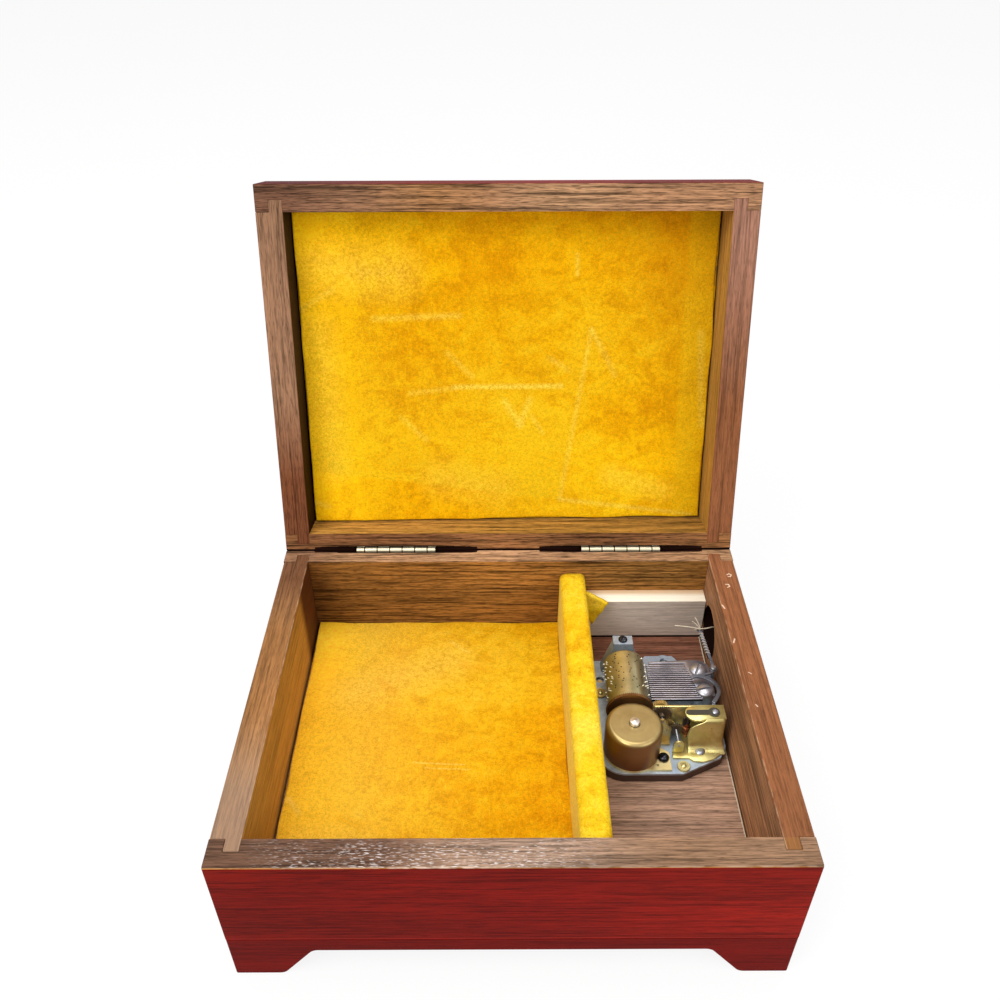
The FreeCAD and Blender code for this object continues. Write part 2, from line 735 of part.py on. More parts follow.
base_top = size("base_height")
axis_z = size("axis_height")
fit = size("fit")
thin = size("thin_arbor")
drum_top = axis_z + size("drum_top")
bracket_top = axis_z + size("bracket_top")
bridge_top = axis_z + size("bridge_top")
lever_low = axis_z + size("lever_height")
plate_top = base_top + size("plate")
BRIDGE_FRONT = 32.4
BRIDGE_REAR = 36.3
BRIDGE_SCREW = (0, 34.4)
POST_LOW = (21.5, 14.6)
POST_HIGH = (27.6, 29.6)
COMB_SCREWS = [(23.8, 25.2), (24.6, 16.4)]
LEVER_PIVOT = (28.4, 24.2)
FOOT_SCREW = (9.4, -3.7)
RIVET = (21.0, -1.0)
STANDOFFS = [(-7.6, 22.7), (15.2, -6.4)]
comb_low = axis_z - 0.3


def place_in_movement(body, label):
    move(body, movement)
    return keep(body, label)


def build_base():
    outline = [(BASE_LEFT, BASE_FRONT), (14.8, BASE_FRONT), (27.2, -3.0), (BASE_RIGHT, 1.0),
               (BASE_RIGHT, 30.0), (24.0, 36.3), (20.0, 36.6), (18.2, LUG_REAR), (9.0, LUG_REAR),
               (7.2, BASE_REAR), (BASE_LEFT, BASE_REAR)]
    body = prism("base_casting", "XY_Plane", 0, base_top, outline)
    soften(body, 8.0, lambda p: near(p.x, BASE_LEFT) and near(p.y, BASE_FRONT))
    soften(body, 2.0, lambda p: 12 < p.x and p.y < 32, along="z")
    rib = size("base_rib")
    under = [(BASE_LEFT + rib + 3.5, BASE_FRONT + rib), (13.8, BASE_FRONT + rib), (25.4, -1.8),
             (BASE_RIGHT - rib, 2.0), (BASE_RIGHT - rib, 28.8), (22.6, 34.2),
             (BASE_LEFT + rib, BASE_REAR - rib), (BASE_LEFT + rib, BASE_FRONT + rib + 4.5)]
    pocket(body, "XY_Plane", 0, base_top - size("base_skin"), under)
    for spot in SCREW_PLACES + [(0, 0)]:
        pad(body, "XY_Plane", 0, base_top, ring_points(spot, 2.8, 12))
    sunk = base_top - 0.5
    arch = axis_z - 2.6
    leg = [(-6.8, sunk), (-4.6, sunk), (-1.9, arch), (1.9, arch), (4.6, sunk), (6.8, sunk),
           (3.2, bridge_top - 2.2), (3.2, bridge_top), (-3.2, bridge_top), (-3.2, bridge_top - 2.2)]
    pad(body, "XZ_Plane", BRIDGE_FRONT, BRIDGE_REAR, leg)
    pad(body, "XY_Plane", sunk, comb_low, rectangle(POST_LOW, POST_HIGH))
    soften(body, 2.0, lambda p: near(p.x, POST_LOW[0]) or near(p.x, POST_HIGH[0]), along="z")
    pad(body, "XY_Plane", sunk, lever_low, ring_points(LEVER_PIVOT, 0.75, 12))
    hole(body, "XY_Plane", 0, base_top, [(0, 0)], size("arbor_radius") + fit)
    hole(body, "XY_Plane", 0, base_top, SCREW_PLACES, SCREW_RADIUS)
    hole(body, "XY_Plane", comb_low - 5, comb_low, COMB_SCREWS, 1.1)
    hole(body, "XZ_Plane", BRIDGE_FRONT, BRIDGE_REAR, [(0, axis_z)], thin + fit)
    hole(body, "XY_Plane", bridge_top - 2.5, bridge_top, [BRIDGE_SCREW], 0.7)
    place_in_movement(body, "base_casting")


def build_drum():
    outer = size("drum_radius")
    inner = outer - size("drum_wall")
    bore = size("arbor_radius") + fit
    curve = size("drum_round")
    facet = curve * 0.293
    body = turned("spring_drum", [
        (inner, plate_top), (outer, plate_top), (outer, drum_top - curve), (outer - facet, drum_top - facet),
        (outer - curve, drum_top), (bore, drum_top), (bore, drum_top - 0.6), (inner, drum_top - 0.6)])
    window = rectangle((-4.75, axis_z - 4.9), (4.75, axis_z + 4.45))
    pocket(body, "XZ_Plane", outer - 2.9, outer + 1, window)
    place_in_movement(body, "spring_drum")

    body = new_body("drum_foot_plate")
    tab = [(0, BASE_FRONT + 0.9), (11.4, BASE_FRONT + 0.9), (11.4, -1.6), (8.4, 0.6), (0, 0)]
    round_pad(body, "XY_Plane", base_top, plate_top, (0, 0), outer + 0.3)
    pad(body, "XY_Plane", base_top, plate_top, tab)
    pad(body, "XY_Plane", base_top, plate_top, rectangle((-2.6, 6.0), (2.6, 9.2)))
    shoulder = axis_z - 1.7
    crest = axis_z + 1.7
    ear = [(-2.6, base_top), (2.6, base_top), (2.6, shoulder), (1.7, crest), (-1.7, crest), (-2.6, shoulder)]
    pad(body, "XZ_Plane", 8.6, 9.2, ear)
    hole(body, "XZ_Plane", 8.6, 9.2, [(0, axis_z)], thin + fit)
    hole(body, "XY_Plane", base_top, plate_top, [(0, 0)], size("arbor_radius") + fit)
    hole(body, "XY_Plane", base_top, plate_top, [FOOT_SCREW], 0.8)
    hole(body, "XY_Plane", base_top, plate_top, [(7.3, -6.3)], 0.4)
    place_in_movement(body, "drum_foot_plate")


def spiral_strip(start, turns, pitch, thick, low, high):
    """Flat coil that widens steadily, in short straight steps."""
    steps = 16
    inner = []
    outer = []
    for number in range(turns * steps + 1):
        angle = 2 * math.pi * number / steps
        radius = start + pitch * number / steps
        inner.append(FreeCAD.Vector(radius * math.cos(angle), radius * math.sin(angle), low))
        radius += thick
        outer.append(FreeCAD.Vector(radius * math.cos(angle), radius * math.sin(angle), low))
    corners = inner + outer[::-1]
    return Part.Face(Part.makePolygon(corners + corners[:1])).extrude(FreeCAD.Vector(0, 0, high - low))


SPRING_START = 1.9
SPRING_TURNS = 6
SPRING_THICK = 0.3
SPRING_SPARE = 1.14


def build_winding():
    arbor = size("arbor_radius")
    top = drum_top + 1.1
    bottom = -size("floor_thickness") - 8.0
    body = turned("winding_arbor", [(0, bottom), (arbor, bottom), (arbor, top - 0.3),
                                    (arbor - 0.3, top), (0.55, top), (0, top - 0.35)])
    place_in_movement(body, "winding_arbor")

    stem_top = -size("floor_thickness") - 1.0
    stem_low = stem_top - 8.2
    wing_low = -size("floor_thickness") - size("key_drop")
    body = turned("winding_key", [
        (arbor, stem_low + 1.2), (0, stem_low + 1.2), (0, stem_low), (3.0, stem_low),
        (3.0, stem_top - 0.5), (2.6, stem_top), (arbor, stem_top)])
    half = size("key_width") / 2
    wing_top = stem_low + 3.4
    wings = [(-half, wing_low + 2.0), (-half + 2.5, wing_low), (-4.0, wing_low), (-2.4, stem_low - 2.0),
             (2.4, stem_low - 2.0), (4.0, wing_low), (half - 2.5, wing_low), (half, wing_low + 2.0),
             (half, wing_top - 2.5), (half - 2.5, wing_top), (4.6, wing_top), (2.0, stem_low + 1.0),
             (-2.0, stem_low + 1.0), (-4.6, wing_top), (-half + 2.5, wing_top), (-half, wing_top - 2.5)]
    pad(body, "XZ_Plane", -0.9, 0.9, wings)
    place_in_movement(body, "winding_key")

    low = float(plate_top) + 0.4
    space = float(size("drum_radius") - size("drum_wall"))
    pitch = (space - SPRING_START - SPRING_SPARE - SPRING_THICK) / SPRING_TURNS
    spring = spiral_strip(SPRING_START, SPRING_TURNS, pitch, SPRING_THICK, float(axis_z) - 3.2,
                          float(drum_top) - 1.0)
    shape_part("mainspring", spring, movement)

    module = float(size("crown_module"))
    drive_pitch = module * DRIVE_TEETH / 2
    tooth_top = float(axis_z) - drive_pitch + 0.2
    outer = space - 0.15
    disc_top = tooth_top - 1.15
    wheel = Part.makeCylinder(outer, disc_top - low, FreeCAD.Vector(0, 0, low))
    teeth = []
    for number in range(GREAT_TEETH):
        tooth = crown_tooth(outer - 0.85, outer, disc_top - 0.2, tooth_top, 0.26, 0.15)
        tooth.rotate(FreeCAD.Vector(), FreeCAD.Vector(0, 0, 1), 360.0 * (number + 0.5) / GREAT_TEETH + 90)
        teeth.append(tooth)
    wheel = wheel.multiFuse(teeth)
    wheel = wheel.cut(Part.makeCylinder(float(arbor), 10, FreeCAD.Vector(0, 0, low - 1)))
    shape_part("great_wheel", wheel.removeSplitter(), movement)


def crown_tooth(inner, outer, low, high, half_root, half_tip):
    """One face tooth, along +X, narrower at its tip."""
    points = [(-half_root, low), (half_root, low), (half_tip, high), (-half_tip, high)]
    corners = [FreeCAD.Vector(inner, a, b) for a, b in points]
    wire = Part.makePolygon(corners + corners[:1])
    return Part.Face(wire).extrude(FreeCAD.Vector(outer - inner - 0.05, 0, 0))


def gear(teeth, module, low, high, bore, phase=0.0, fill=0.38, above=1.0, below=1.25, pointed=False):
    """Spur wheel about Z. The phase turns it, counted in teeth."""
    pitch = module * teeth / 2
    tip = pitch + module * above
    root = pitch - module * below
    step = 2 * math.pi / teeth
    points = []
    half_root = fill * 0.5 + 0.11
    half_tip = fill * 0.5 - 0.07
    flank = [(root, -half_root), (tip, -half_tip), (tip, half_tip), (root, half_root)]
    if pointed:
        flank[1:3] = [(tip, 0.0)]
    for number in range(teeth):
        for radius, aside in flank:
            points.append((radius, (number + phase + aside) * step))
    corners = [FreeCAD.Vector(r * math.cos(a), r * math.sin(a), low) for r, a in points]
    wheel = Part.Face(Part.makePolygon(corners + corners[:1])).extrude(FreeCAD.Vector(0, 0, high - low))
    if bore:
        wheel = wheel.cut(rod(bore, high - low + 2, (0, 0, low - 1)))
    return wheel


def lay_back(shape, x, z):
    """Turn a shape made about Z so that its axis runs to the back, through (x, z)."""
    shape = shape.copy()
    shape.rotate(FreeCAD.Vector(), FreeCAD.Vector(1, 0, 0), -90)
    shape.translate(FreeCAD.Vector(x, 0, z))
    return shape


NOTE_PIN = 0.34
NOTE_PIN_ROOT = 0.4


def build_cylinder():
    radius = float(size("barrel_radius"))
    low = float(size("barrel_start"))
    high = low + float(size("barrel_length"))
    bore = float(thin)
    reach = radius + float(size("pin_reach"))
    tube = Part.makeCylinder(radius, high - low, FreeCAD.Vector(0, 0, low))
    tube = tube.cut(Part.makeCylinder(radius - 0.6, high - low - 0.8, FreeCAD.Vector(0, 0, low)))
    tube = tube.cut(Part.makeCylinder(bore, 3, FreeCAD.Vector(0, 0, high - 2)))
    first = float(size("comb_start") + size("tooth_pitch") / 2)
    pins = []
    for track in range(COMB_TEETH):
        station = first + track * float(size("tooth_pitch"))
        for note in range(PINS_PER_TRACK):
            turn = (track * 47 + note * 360 / PINS_PER_TRACK + (track * note * 29) % 53) % 360
            corner = FreeCAD.Vector(radius - NOTE_PIN_ROOT, -NOTE_PIN / 2, station - NOTE_PIN / 2)
            pin = Part.makeBox(reach - radius + NOTE_PIN_ROOT, NOTE_PIN, NOTE_PIN, corner)
            pin.rotate(FreeCAD.Vector(), FreeCAD.Vector(0, 0, 1), turn)
            pins.append(pin)
    tube = tube.multiFuse(pins)
    shape_part("pinned_cylinder", lay_back(tube, 0, float(axis_z)), movement)

    wheel = gear(CYLINDER_TEETH, float(size("gear_module")), 9.35, 10.25, 0, pointed=True)
    plug = Part.makeCylinder(radius - 0.65, low + 0.8 - 10.2, FreeCAD.Vector(0, 0, 10.2))
    wheel = wheel.fuse(plug).cut(Part.makeCylinder(bore, 6, FreeCAD.Vector(0, 0, 8)))
    wheel = wheel.cut(Part.makeCylinder(5.9, 0.35, FreeCAD.Vector(0, 0, 9.3)).cut(
        Part.makeCylinder(1.9, 2, FreeCAD.Vector(0, 0, 9))))
    shape_part("cylinder_gear", lay_back(wheel, 0, float(axis_z)), movement)

    outer = float(size("drum_radius"))
    pinion = gear(DRIVE_TEETH, float(size("crown_module")), outer - 1.45, outer + 0.05, 0,
                  fill=0.36, above=0.75, below=0.8)
    pinion = pinion.cut(Part.makeCylinder(bore, 3, FreeCAD.Vector(0, 0, outer - 2)))
    shape_part("drive_pinion", lay_back(pinion, 0, float(axis_z)), movement)

    body = turned("cylinder_arbor", rectangle((0, size("drum_radius") - 1.7), (thin, 36.0)), "Y")
    move(body, (move_x, move_y, floor_top + axis_z))
    keep(body, "cylinder_arbor")


def build_comb():
    tip = size("barrel_radius") + size("pin_reach") + size("tip_gap")
    pitch = size("tooth_pitch")
    slit = size("tooth_gap")
    start = size("comb_start")
    rear = start + pitch * COMB_TEETH
    points = [(POST_HIGH[0], start + 1.4), (23.6, start + 1.4), (23.4, start)]
    for number in range(COMB_TEETH):
        low = start + pitch * number + (slit / 2 if number else 0)
        high = start + pitch * (number + 1) - slit / 2
        points.append((tip, low))
        points.append((tip, high))
        root = 23.3 - 0.19 * (number + 1)
        points.append((root, high))
        if number < COMB_TEETH - 1:
            points.append((root, high + slit))
    points += [(root, rear + 0.3), (tip + 1.0, rear + 0.3), (tip + 1.0, rear + 0.9), (22.0, rear + 1.8),
               (25.4, rear + 1.4), (POST_HIGH[0], rear - 0.6)]
    corners = [FreeCAD.Vector(float(x), float(y), float(comb_low)) for x, y in points]
    thick = float(size("comb_thickness"))
    comb = Part.Face(Part.makePolygon(corners + corners[:1])).extrude(FreeCAD.Vector(0, 0, thick))
    for x, y in COMB_SCREWS:
        comb = comb.cut(bore_rod(1.2, thick + 2, (x, y, float(comb_low) - 1)))
    shape_part("comb", comb, movement)

    top = float(comb_low) + thick
    screws = [slotted_screw(x, y, top, 2.8, 1.1, 4.5, turn) for (x, y), turn in zip(COMB_SCREWS, (70, 10))]
    shape_part("comb_screws", Part.makeCompound(screws), movement)


def slotted_screw(x, y, seat, head, shank, length, turn):
    """Domed screw with its slot, standing on a seat."""
    high = head * 0.5
    shape = rod(head, high * 0.45, (x, y, seat), sides=20)
    shape = shape.fuse(rod(head, high * 0.55, (x, y, seat + high * 0.45), sides=20, top=head * 0.62))
    shape = shape.fuse(rod(shank, length, (x, y, seat - length)))
    slot = Part.makeBox(head * 3, head * 0.26, high, FreeCAD.Vector(-head * 1.5, -head * 0.13, 0))
    slot.rotate(FreeCAD.Vector(), FreeCAD.Vector(0, 0, 1), turn)
    slot.translate(FreeCAD.Vector(x, y, seat + high * 0.6))
    return shape.cut(slot).removeSplitter()


module = float(size("gear_module"))
WORM_RADIUS = 1.05
first_centre = (9.3, float(axis_z) + 1.4)
last_centre = (14.1, float(axis_z) - 3.5)


def train_middle():
    """Centre of the middle wheel, in mesh with the wheels before and after it."""
    near_arm = module * (FIRST_WHEEL + MIDDLE_PINION) / 2
    far_arm = module * (MIDDLE_WHEEL + LAST_PINION) / 2
    dx = last_centre[0] - first_centre[0]
    dz = last_centre[1] - first_centre[1]
    span = math.hypot(dx, dz)
    along = (span * span + near_arm * near_arm - far_arm * far_arm) / (2 * span)
    across = math.sqrt(near_arm * near_arm - along * along)
    x = first_centre[0] + dx / span * along + dz / span * across
    z = first_centre[1] + dz / span * along - dx / span * across
    return x, z


middle_centre = train_middle()
worm_x = last_centre[0] + module * LAST_WHEEL / 2 + WORM_RADIUS
WORM_Y = 4.8


def build_bracket():
    sheet_t = size("sheet_metal")
    top = bracket_top
    rear_wall = rectangle((7.2, base_top), (28.6, top))
    body = prism("governor_bracket", "XZ_Plane", 7.95 - sheet_t, 7.95, rear_wall)
    pad(body, "XY_Plane", top - sheet_t, top, [
        (15.2, 7.95), (15.2, 3.6), (15.9, 2.5), (17.4, 2.0), (19.2, 2.2), (20.6, 2.0), (21.2, 1.4),
        (28.6, 1.4), (28.6, 7.95)])
    pad(body, "XZ_Plane", 1.4, 1.4 + sheet_t, [
        (19.0, base_top), (28.6, base_top), (28.6, top), (21.6, top), (21.4, top - 2.7),
        (20.3, top - 4.1), (19.2, top - 5.9)])
    pad(body, "XY_Plane", base_top, base_top + sheet_t, [
        (16.0, 7.95), (16.0, -1.5), (12.4, -1.5), (12.4, -3.6), (17.4, -3.6), (18.6, -4.7), (21.5, -5.0),
        (26.6, -2.6), (28.6, 0.6), (28.6, 7.95)])
    ear = axis_z - 3.0
    pad(body, "XZ_Plane", -1.5, -0.9, [(12.6, base_top), (15.6, base_top), (15.6, ear), (14.9, ear + 0.7),
                                      (13.3, ear + 0.7), (12.6, ear)])
    bore = 0.4 + fit
    hole(body, "XZ_Plane", 7.95 - sheet_t, 7.95, [first_centre, middle_centre, last_centre], bore)
    hole(body, "XZ_Plane", -1.5, -0.9, [last_centre], bore)
    hole(body, "XY_Plane", top - sheet_t, top, [(worm_x, WORM_Y)], bore)
    hole(body, "XY_Plane", base_top, base_top + sheet_t, [(worm_x, WORM_Y)], bore)
    hole(body, "XY_Plane", base_top, base_top + sheet_t, [RIVET], 1.0)
    place_in_movement(body, "governor_bracket")

    body = prism("wheel_cock", "XZ_Plane", 3.4, 3.9, [
        (8.9, base_top), (12.3, base_top), (12.3, axis_z - 1.6), (10.5, axis_z + 0.8),
        (10.3, axis_z + 2.1), (9.6, axis_z + 2.6), (8.7, axis_z + 2.4), (8.3, axis_z + 1.6),
        (8.5, axis_z + 0.4), (9.6, axis_z - 2.2)])
    pad(body, "XY_Plane", base_top, base_top + 0.6, rectangle((8.9, 1.7), (12.2, 3.9)))
    hole(body, "XZ_Plane", 3.4, 3.9, [first_centre, middle_centre], bore)
    place_in_movement(body, "wheel_cock")

    leaf = Part.makeCylinder(1.75, 0.3, FreeCAD.Vector(25.0, 4.9, float(top)))
    leaf = leaf.fuse(Part.makeBox(7.7, 1.8, 0.3, FreeCAD.Vector(17.3, 4.0, float(top))))
    leaf = leaf.fuse(rod(0.9, 0.3, (17.3, 4.9, float(top))))
    shape_part("endstone_leaf", leaf.removeSplitter(), movement)
    low = float(top) + 0.3
    pins = [rod(0.95, 0.35, (25.3, 4.9, low), top=0.6),
            rod(1.55, 0.45, (*RIVET, float(base_top + sheet_t)), sides=16, top=1.25).fuse(
                rod(1.0, float(sheet_t), (*RIVET, float(base_top))))]
    shape_part("bracket_rivets", Part.makeCompound(pins), movement)


def meshing_phase(centre, teeth, phase, next_centre, next_teeth):
    """Turn, in teeth, that puts a tooth of the next wheel in a gap of this one."""
    angle = math.atan2(centre[1] - next_centre[1], next_centre[0] - centre[0])
    here = angle * teeth / (2 * math.pi) - phase
    there = (angle + math.pi) * next_teeth / (2 * math.pi)
    return (here + there - 0.5) % 1.0


def build_train():
    """Wheels between the cylinder and the governor, turned so that their teeth mesh."""
    w_low, w_high = 6.35, 6.95
    m_low, m_high = 5.6, 6.2
    bore = 0.4
    phase = meshing_phase((0, float(axis_z)), CYLINDER_TEETH, 0, first_centre, FIRST_PINION)
    pinion = gear(FIRST_PINION, module, 9.0, 10.4, bore, phase)
    hub = rod(1.1, 9.1 - 8.15, (0, 0, 8.15)).cut(rod(bore, 3, (0, 0, 7)))
    wheel = gear(FIRST_WHEEL, module, w_low, w_high, bore)
    boss = rod(1.0, w_low - 5.0, (0, 0, 5.0)).cut(rod(bore, 3, (0, 0, 4)))
    shape_part("first_wheel", lay_back(wheel.fuse(boss).removeSplitter(), *first_centre), movement)
    shape_part("first_pinion", lay_back(pinion.fuse(hub).removeSplitter(), *first_centre), movement)
    arbor = rod(bore, 10.6 - 3.2, (0, 0, 3.2))
    shape_part("first_arbor", lay_back(arbor, *first_centre), movement)

    phase = meshing_phase(last_centre, LAST_PINION, 0, middle_centre, MIDDLE_WHEEL)
    wheel = gear(MIDDLE_WHEEL, module, m_low, m_high, 0, phase)
    phase = meshing_phase(first_centre, FIRST_WHEEL, 0, middle_centre, MIDDLE_PINION)
    pinion = gear(MIDDLE_PINION, module, m_high - 0.05, w_high + 0.1, 0, phase)
    arbor = rod(bore, 8.1 - 3.2, (0, 0, 3.2))
    whole = wheel.fuse(pinion).fuse(arbor).removeSplitter()
    shape_part("middle_wheel", lay_back(whole, *middle_centre), movement)

    pinion = gear(LAST_PINION, module, m_low - 0.1, m_high, 0)
    arbor = rod(bore, 8.1 + 1.7, (0, 0, -1.7))
    whole = pinion.fuse(arbor).removeSplitter()
    shape_part("last_arbor", lay_back(whole, *last_centre), movement)
    wheel = gear(LAST_WHEEL, module, WORM_Y - 0.35, WORM_Y + 0.35, bore, fill=0.30)
    shape_part("worm_wheel", lay_back(wheel, *last_centre), movement)


def worm_thread(low, pitch, turns, reach, start):
    """Screw thread as a ruled skin through one section every thirty degrees."""
    sections = []
    for number in range(turns * 12 + 1):
        angle = math.radians(start + 30 * number)
        rise = low + pitch * number / 12
        corners = []
        for radius, lift in ((0.7, -0.17), (reach, -0.08), (reach, 0.08), (0.7, 0.17)):
            corners.append(FreeCAD.Vector(radius * math.cos(angle), radius * math.sin(angle), rise + lift))
        sections.append(Part.makePolygon(corners + corners[:1]))
    return Part.makeLoft(sections, True, True)


FAN_HEIGHT = 3.6


def build_governor():
    pitch = math.pi * module
    low = last_centre[1] - 2.0
    turns = 5
    core = rod(0.8, turns * pitch + 1.0, (0, 0, low - 0.3))
    foot = float(base_top) + 0.05
    shaft = rod(0.4, float(bracket_top) - foot, (0, 0, foot))
    thread = worm_thread(low, pitch, turns, 1.25, 360 * (low - last_centre[1]) / pitch)
    worm = core.fuse(shaft).fuse(thread)
    worm.translate(FreeCAD.Vector(worm_x, WORM_Y, 0))
    shape_part("worm", worm, movement)

    low = float(bracket_top) - 4.7
    wing = Part.makeBox(4.2, 0.4, FAN_HEIGHT, FreeCAD.Vector(-2.1, -0.2, low))
    wing.rotate(FreeCAD.Vector(), FreeCAD.Vector(0, 0, 1), 35)
    hub = rod(0.8, FAN_HEIGHT, (0, 0, low))
    fan = wing.fuse(hub).cut(rod(0.4, FAN_HEIGHT + 2, (0, 0, low - 1)))
    fan.translate(FreeCAD.Vector(worm_x, WORM_Y, 0))
    shape_part("air_brake", fan.removeSplitter(), movement)


def build_small_parts():
    top = float(base_top)
    seat = float(plate_top)
    screws = [slotted_screw(*BRIDGE_SCREW, float(bridge_top), 1.5, 0.65, 2.3, 60),
              slotted_screw(FOOT_SCREW[0], FOOT_SCREW[1], seat, 1.7, 0.75, float(size("plate")), 40)]
    shape_part("black_screws", Part.makeCompound(screws), movement)

    discs = [rod(2.0, 0.6, (x, y, top), sides=20).fuse(rod(0.7, 0.9, (x, y, top))) for x, y in STANDOFFS]
    shape_part("brass_standoffs", Part.makeCompound(discs), movement)

    screws = []
    thick = float(size("floor_thickness"))
    for x, y in SCREW_PLACES:
        shank = rod(SCREW_RADIUS, thick + top - 0.9, (x, y, -thick))
        head = rod(1.7, 1.4, (x, y, -thick - 1.4), top=2.6)
        screws.append(shank.fuse(head).removeSplitter())
    shape_part("mounting_screws", Part.makeCompound(screws), movement)


def strip(points, low, thick, half):
    """Flat strip of even width along a list of points, rounded where it turns."""
    pieces = []
    for x, y in points:
        pieces.append(rod(half, thick, (x, y, low)))
    for (x0, y0), (x1, y1) in zip(points, points[1:]):
        run = math.hypot(x1 - x0, y1 - y0)
        bar = Part.makeBox(run, half * 2, thick, FreeCAD.Vector(0, -half, 0))
        bar.rotate(FreeCAD.Vector(), FreeCAD.Vector(0, 0, 1), math.degrees(math.atan2(y1 - y0, x1 - x0)))
        bar.translate(FreeCAD.Vector(x0, y0, low))
        pieces.append(bar)
    return pieces[0].multiFuse(pieces[1:])


EYE = (26.8, 41.0)


def build_lever():
    low = float(lever_low) + 0.05
    finger_low = float(axis_z) - 1.4
    thick = 0.5
    px, py = LEVER_PIVOT
    boss = rod(1.3, thick, (px, py, low))
    hoop_points = [(px, py), (21.9, 20.6)]
    cx, cy, radius = 24.7, 16.7, 4.1
    for step in range(7):
        angle = math.radians(115 - step * 32)
        hoop_points.append((cx + radius * math.cos(angle), cy + radius * math.sin(angle)))
    hoop_points.append((25.8, 9.6))
    front_arm = strip(hoop_points, low, thick, 0.4)
    finger = Part.makeBox(0.8, 0.5, low - finger_low, FreeCAD.Vector(25.4, 9.2, finger_low))
    run = math.hypot(EYE[0] - px, EYE[1] - py)
    rise = 2.2
    arm = Part.makeBox(math.hypot(run, rise), 1.6, thick, FreeCAD.Vector(0, -0.8, 0))
    arm.rotate(FreeCAD.Vector(), FreeCAD.Vector(0, 1, 0), -math.degrees(math.atan2(rise, run)))
    eye = rod(1.15, thick, (run, 0, rise))
    arm = arm.fuse(eye).cut(rod(0.5, 6, (run, 0, rise - 3)))
    arm.rotate(FreeCAD.Vector(), FreeCAD.Vector(0, 0, 1), math.degrees(math.atan2(EYE[1] - py, EYE[0] - px)))
    arm.translate(FreeCAD.Vector(px, py, low))
    lever = boss.multiFuse([front_arm, finger, arm])
    lever = lever.cut(bore_rod(0.5 + float(fit), 8, (px, py, low - 2)))
    shape_part("stop_lever", lever.removeSplitter(), movement)

    stud = rod(0.5, thick + 0.4, (px, py, low - 0.05))
    head = rod(1.0, 0.4, (px, py, low + thick + 0.3), top=0.7)
    shape_part("lever_pivot", stud.fuse(head).removeSplitter(), movement)


def build_thread():
    """Stop thread: out of the wall pocket, through the lever's eye, to its cut end."""
    x0, y0, z0 = (float(v) for v in movement)
    wall_x = float(inner_right)
    eye_x = x0 + EYE[0]
    eye_y = y0 + EYE[1]
    route = [(wall_x + 4.2, y0 + 47.0, z0 + 1.9), (wall_x + 3.6, y0 + 46.6, z0 + 9.4),
             (wall_x + 1.0, y0 + 41.0, z0 + 16.2), (eye_x + 0.1, eye_y - 1.9, z0 + 16.6),
             (eye_x - 4.5, eye_y - 1.1, z0 + 17.2), (eye_x - 8.6, eye_y + 0.4, z0 + 16.2)]
    shape_part("stop_thread", tube_along(route, float(size("thread_radius"))))


def tube_along(route, radius, sides=8):
    """Faceted tube along straight runs joined by arcs that touch both runs."""
    points = [FreeCAD.Vector(*p) for p in route]
    edges = []
    start = points[0]
    for before, corner, after in zip(points, points[1:], points[2:]):
        first = corner - before
        second = after - corner
        turn = first.getAngle(second)
        shorter = min(first.Length, second.Length)
        setback = 0.45 * shorter
        bend = setback / math.tan(turn / 2)
        print("thread bend radius %.2f" % bend)
        entry = corner - first.normalize() * setback
        leave = corner + second.normalize() * setback
        inward = (second - first).normalize()
        centre = corner + inward * (bend / math.cos(turn / 2))
        middle = centre - inward * bend
        edges.append(Part.LineSegment(start, entry).toShape())
        edges.append(Part.Arc(entry, middle, leave).toShape())
        start = leave
    edges.append(Part.LineSegment(start, points[-1]).toShape())
    path = Part.Wire(edges)
    direction = points[1] - points[0]
    across = direction.cross(FreeCAD.Vector(0, 0, 1)).normalize()
    upward = across.cross(direction).normalize()
    corners = []
    for number in range(sides):
        angle = 2 * math.pi * number / sides
        corners.append(points[0] + across * (radius * math.cos(angle)) + upward * (radius * math.sin(angle)))
    section = Part.makePolygon(corners + corners[:1])
    tube = path.makePipeShell([section], True, False)
    length = path.Length
    area = sides * radius * radius * math.sin(2 * math.pi / sides) / 2
    ratio = tube.Volume / (area * length)
    print("thread length %.2f, volume over section times length %.4f" % (length, ratio))
    return tube


build_case()
build_plinth()
build_floor_and_linings()
build_lid()
build_hinges()
open_lid()
build_base()
build_drum()
build_winding()
build_cylinder()
build_comb()
build_bracket()
build_train()
build_governor()
build_small_parts()
build_lever()
build_thread()

doc.recompute()
faults = []
for thing in doc.Objects:
    if "Invalid" in thing.State or "Error" in thing.State:
        faults.append("%s is %s" % (thing.Label, thing.State))
for thing in parts:
    if thing.Shape.isNull() or not thing.Shape.isValid():
        faults.append("%s has no valid shape" % thing.Label)
    if not thing.Shape.Solids:
        faults.append("%s has no solid" % thing.Label)
if faults:
    raise RuntimeError("; ".join(faults))
for thing in parts:
    thing.Shape.exportStep("parts/%s.step" % thing.Label)
print("%d sub-parts written" % len(parts))
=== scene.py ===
import json
import math
import random

import bmesh
import bpy
from mathutils import Matrix, Vector, noise


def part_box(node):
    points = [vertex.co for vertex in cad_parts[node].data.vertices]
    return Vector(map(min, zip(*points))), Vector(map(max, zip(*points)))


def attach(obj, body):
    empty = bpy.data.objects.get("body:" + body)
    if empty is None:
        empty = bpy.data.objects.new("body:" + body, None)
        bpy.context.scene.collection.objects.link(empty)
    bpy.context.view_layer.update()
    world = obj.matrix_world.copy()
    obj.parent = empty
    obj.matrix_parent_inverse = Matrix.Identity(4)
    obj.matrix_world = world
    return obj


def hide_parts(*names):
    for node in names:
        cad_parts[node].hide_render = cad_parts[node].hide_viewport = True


# A musical jewelry box, open: red stained outside, walnut inside, golden velvet linings
# and a brass comb movement. Metres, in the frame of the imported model.

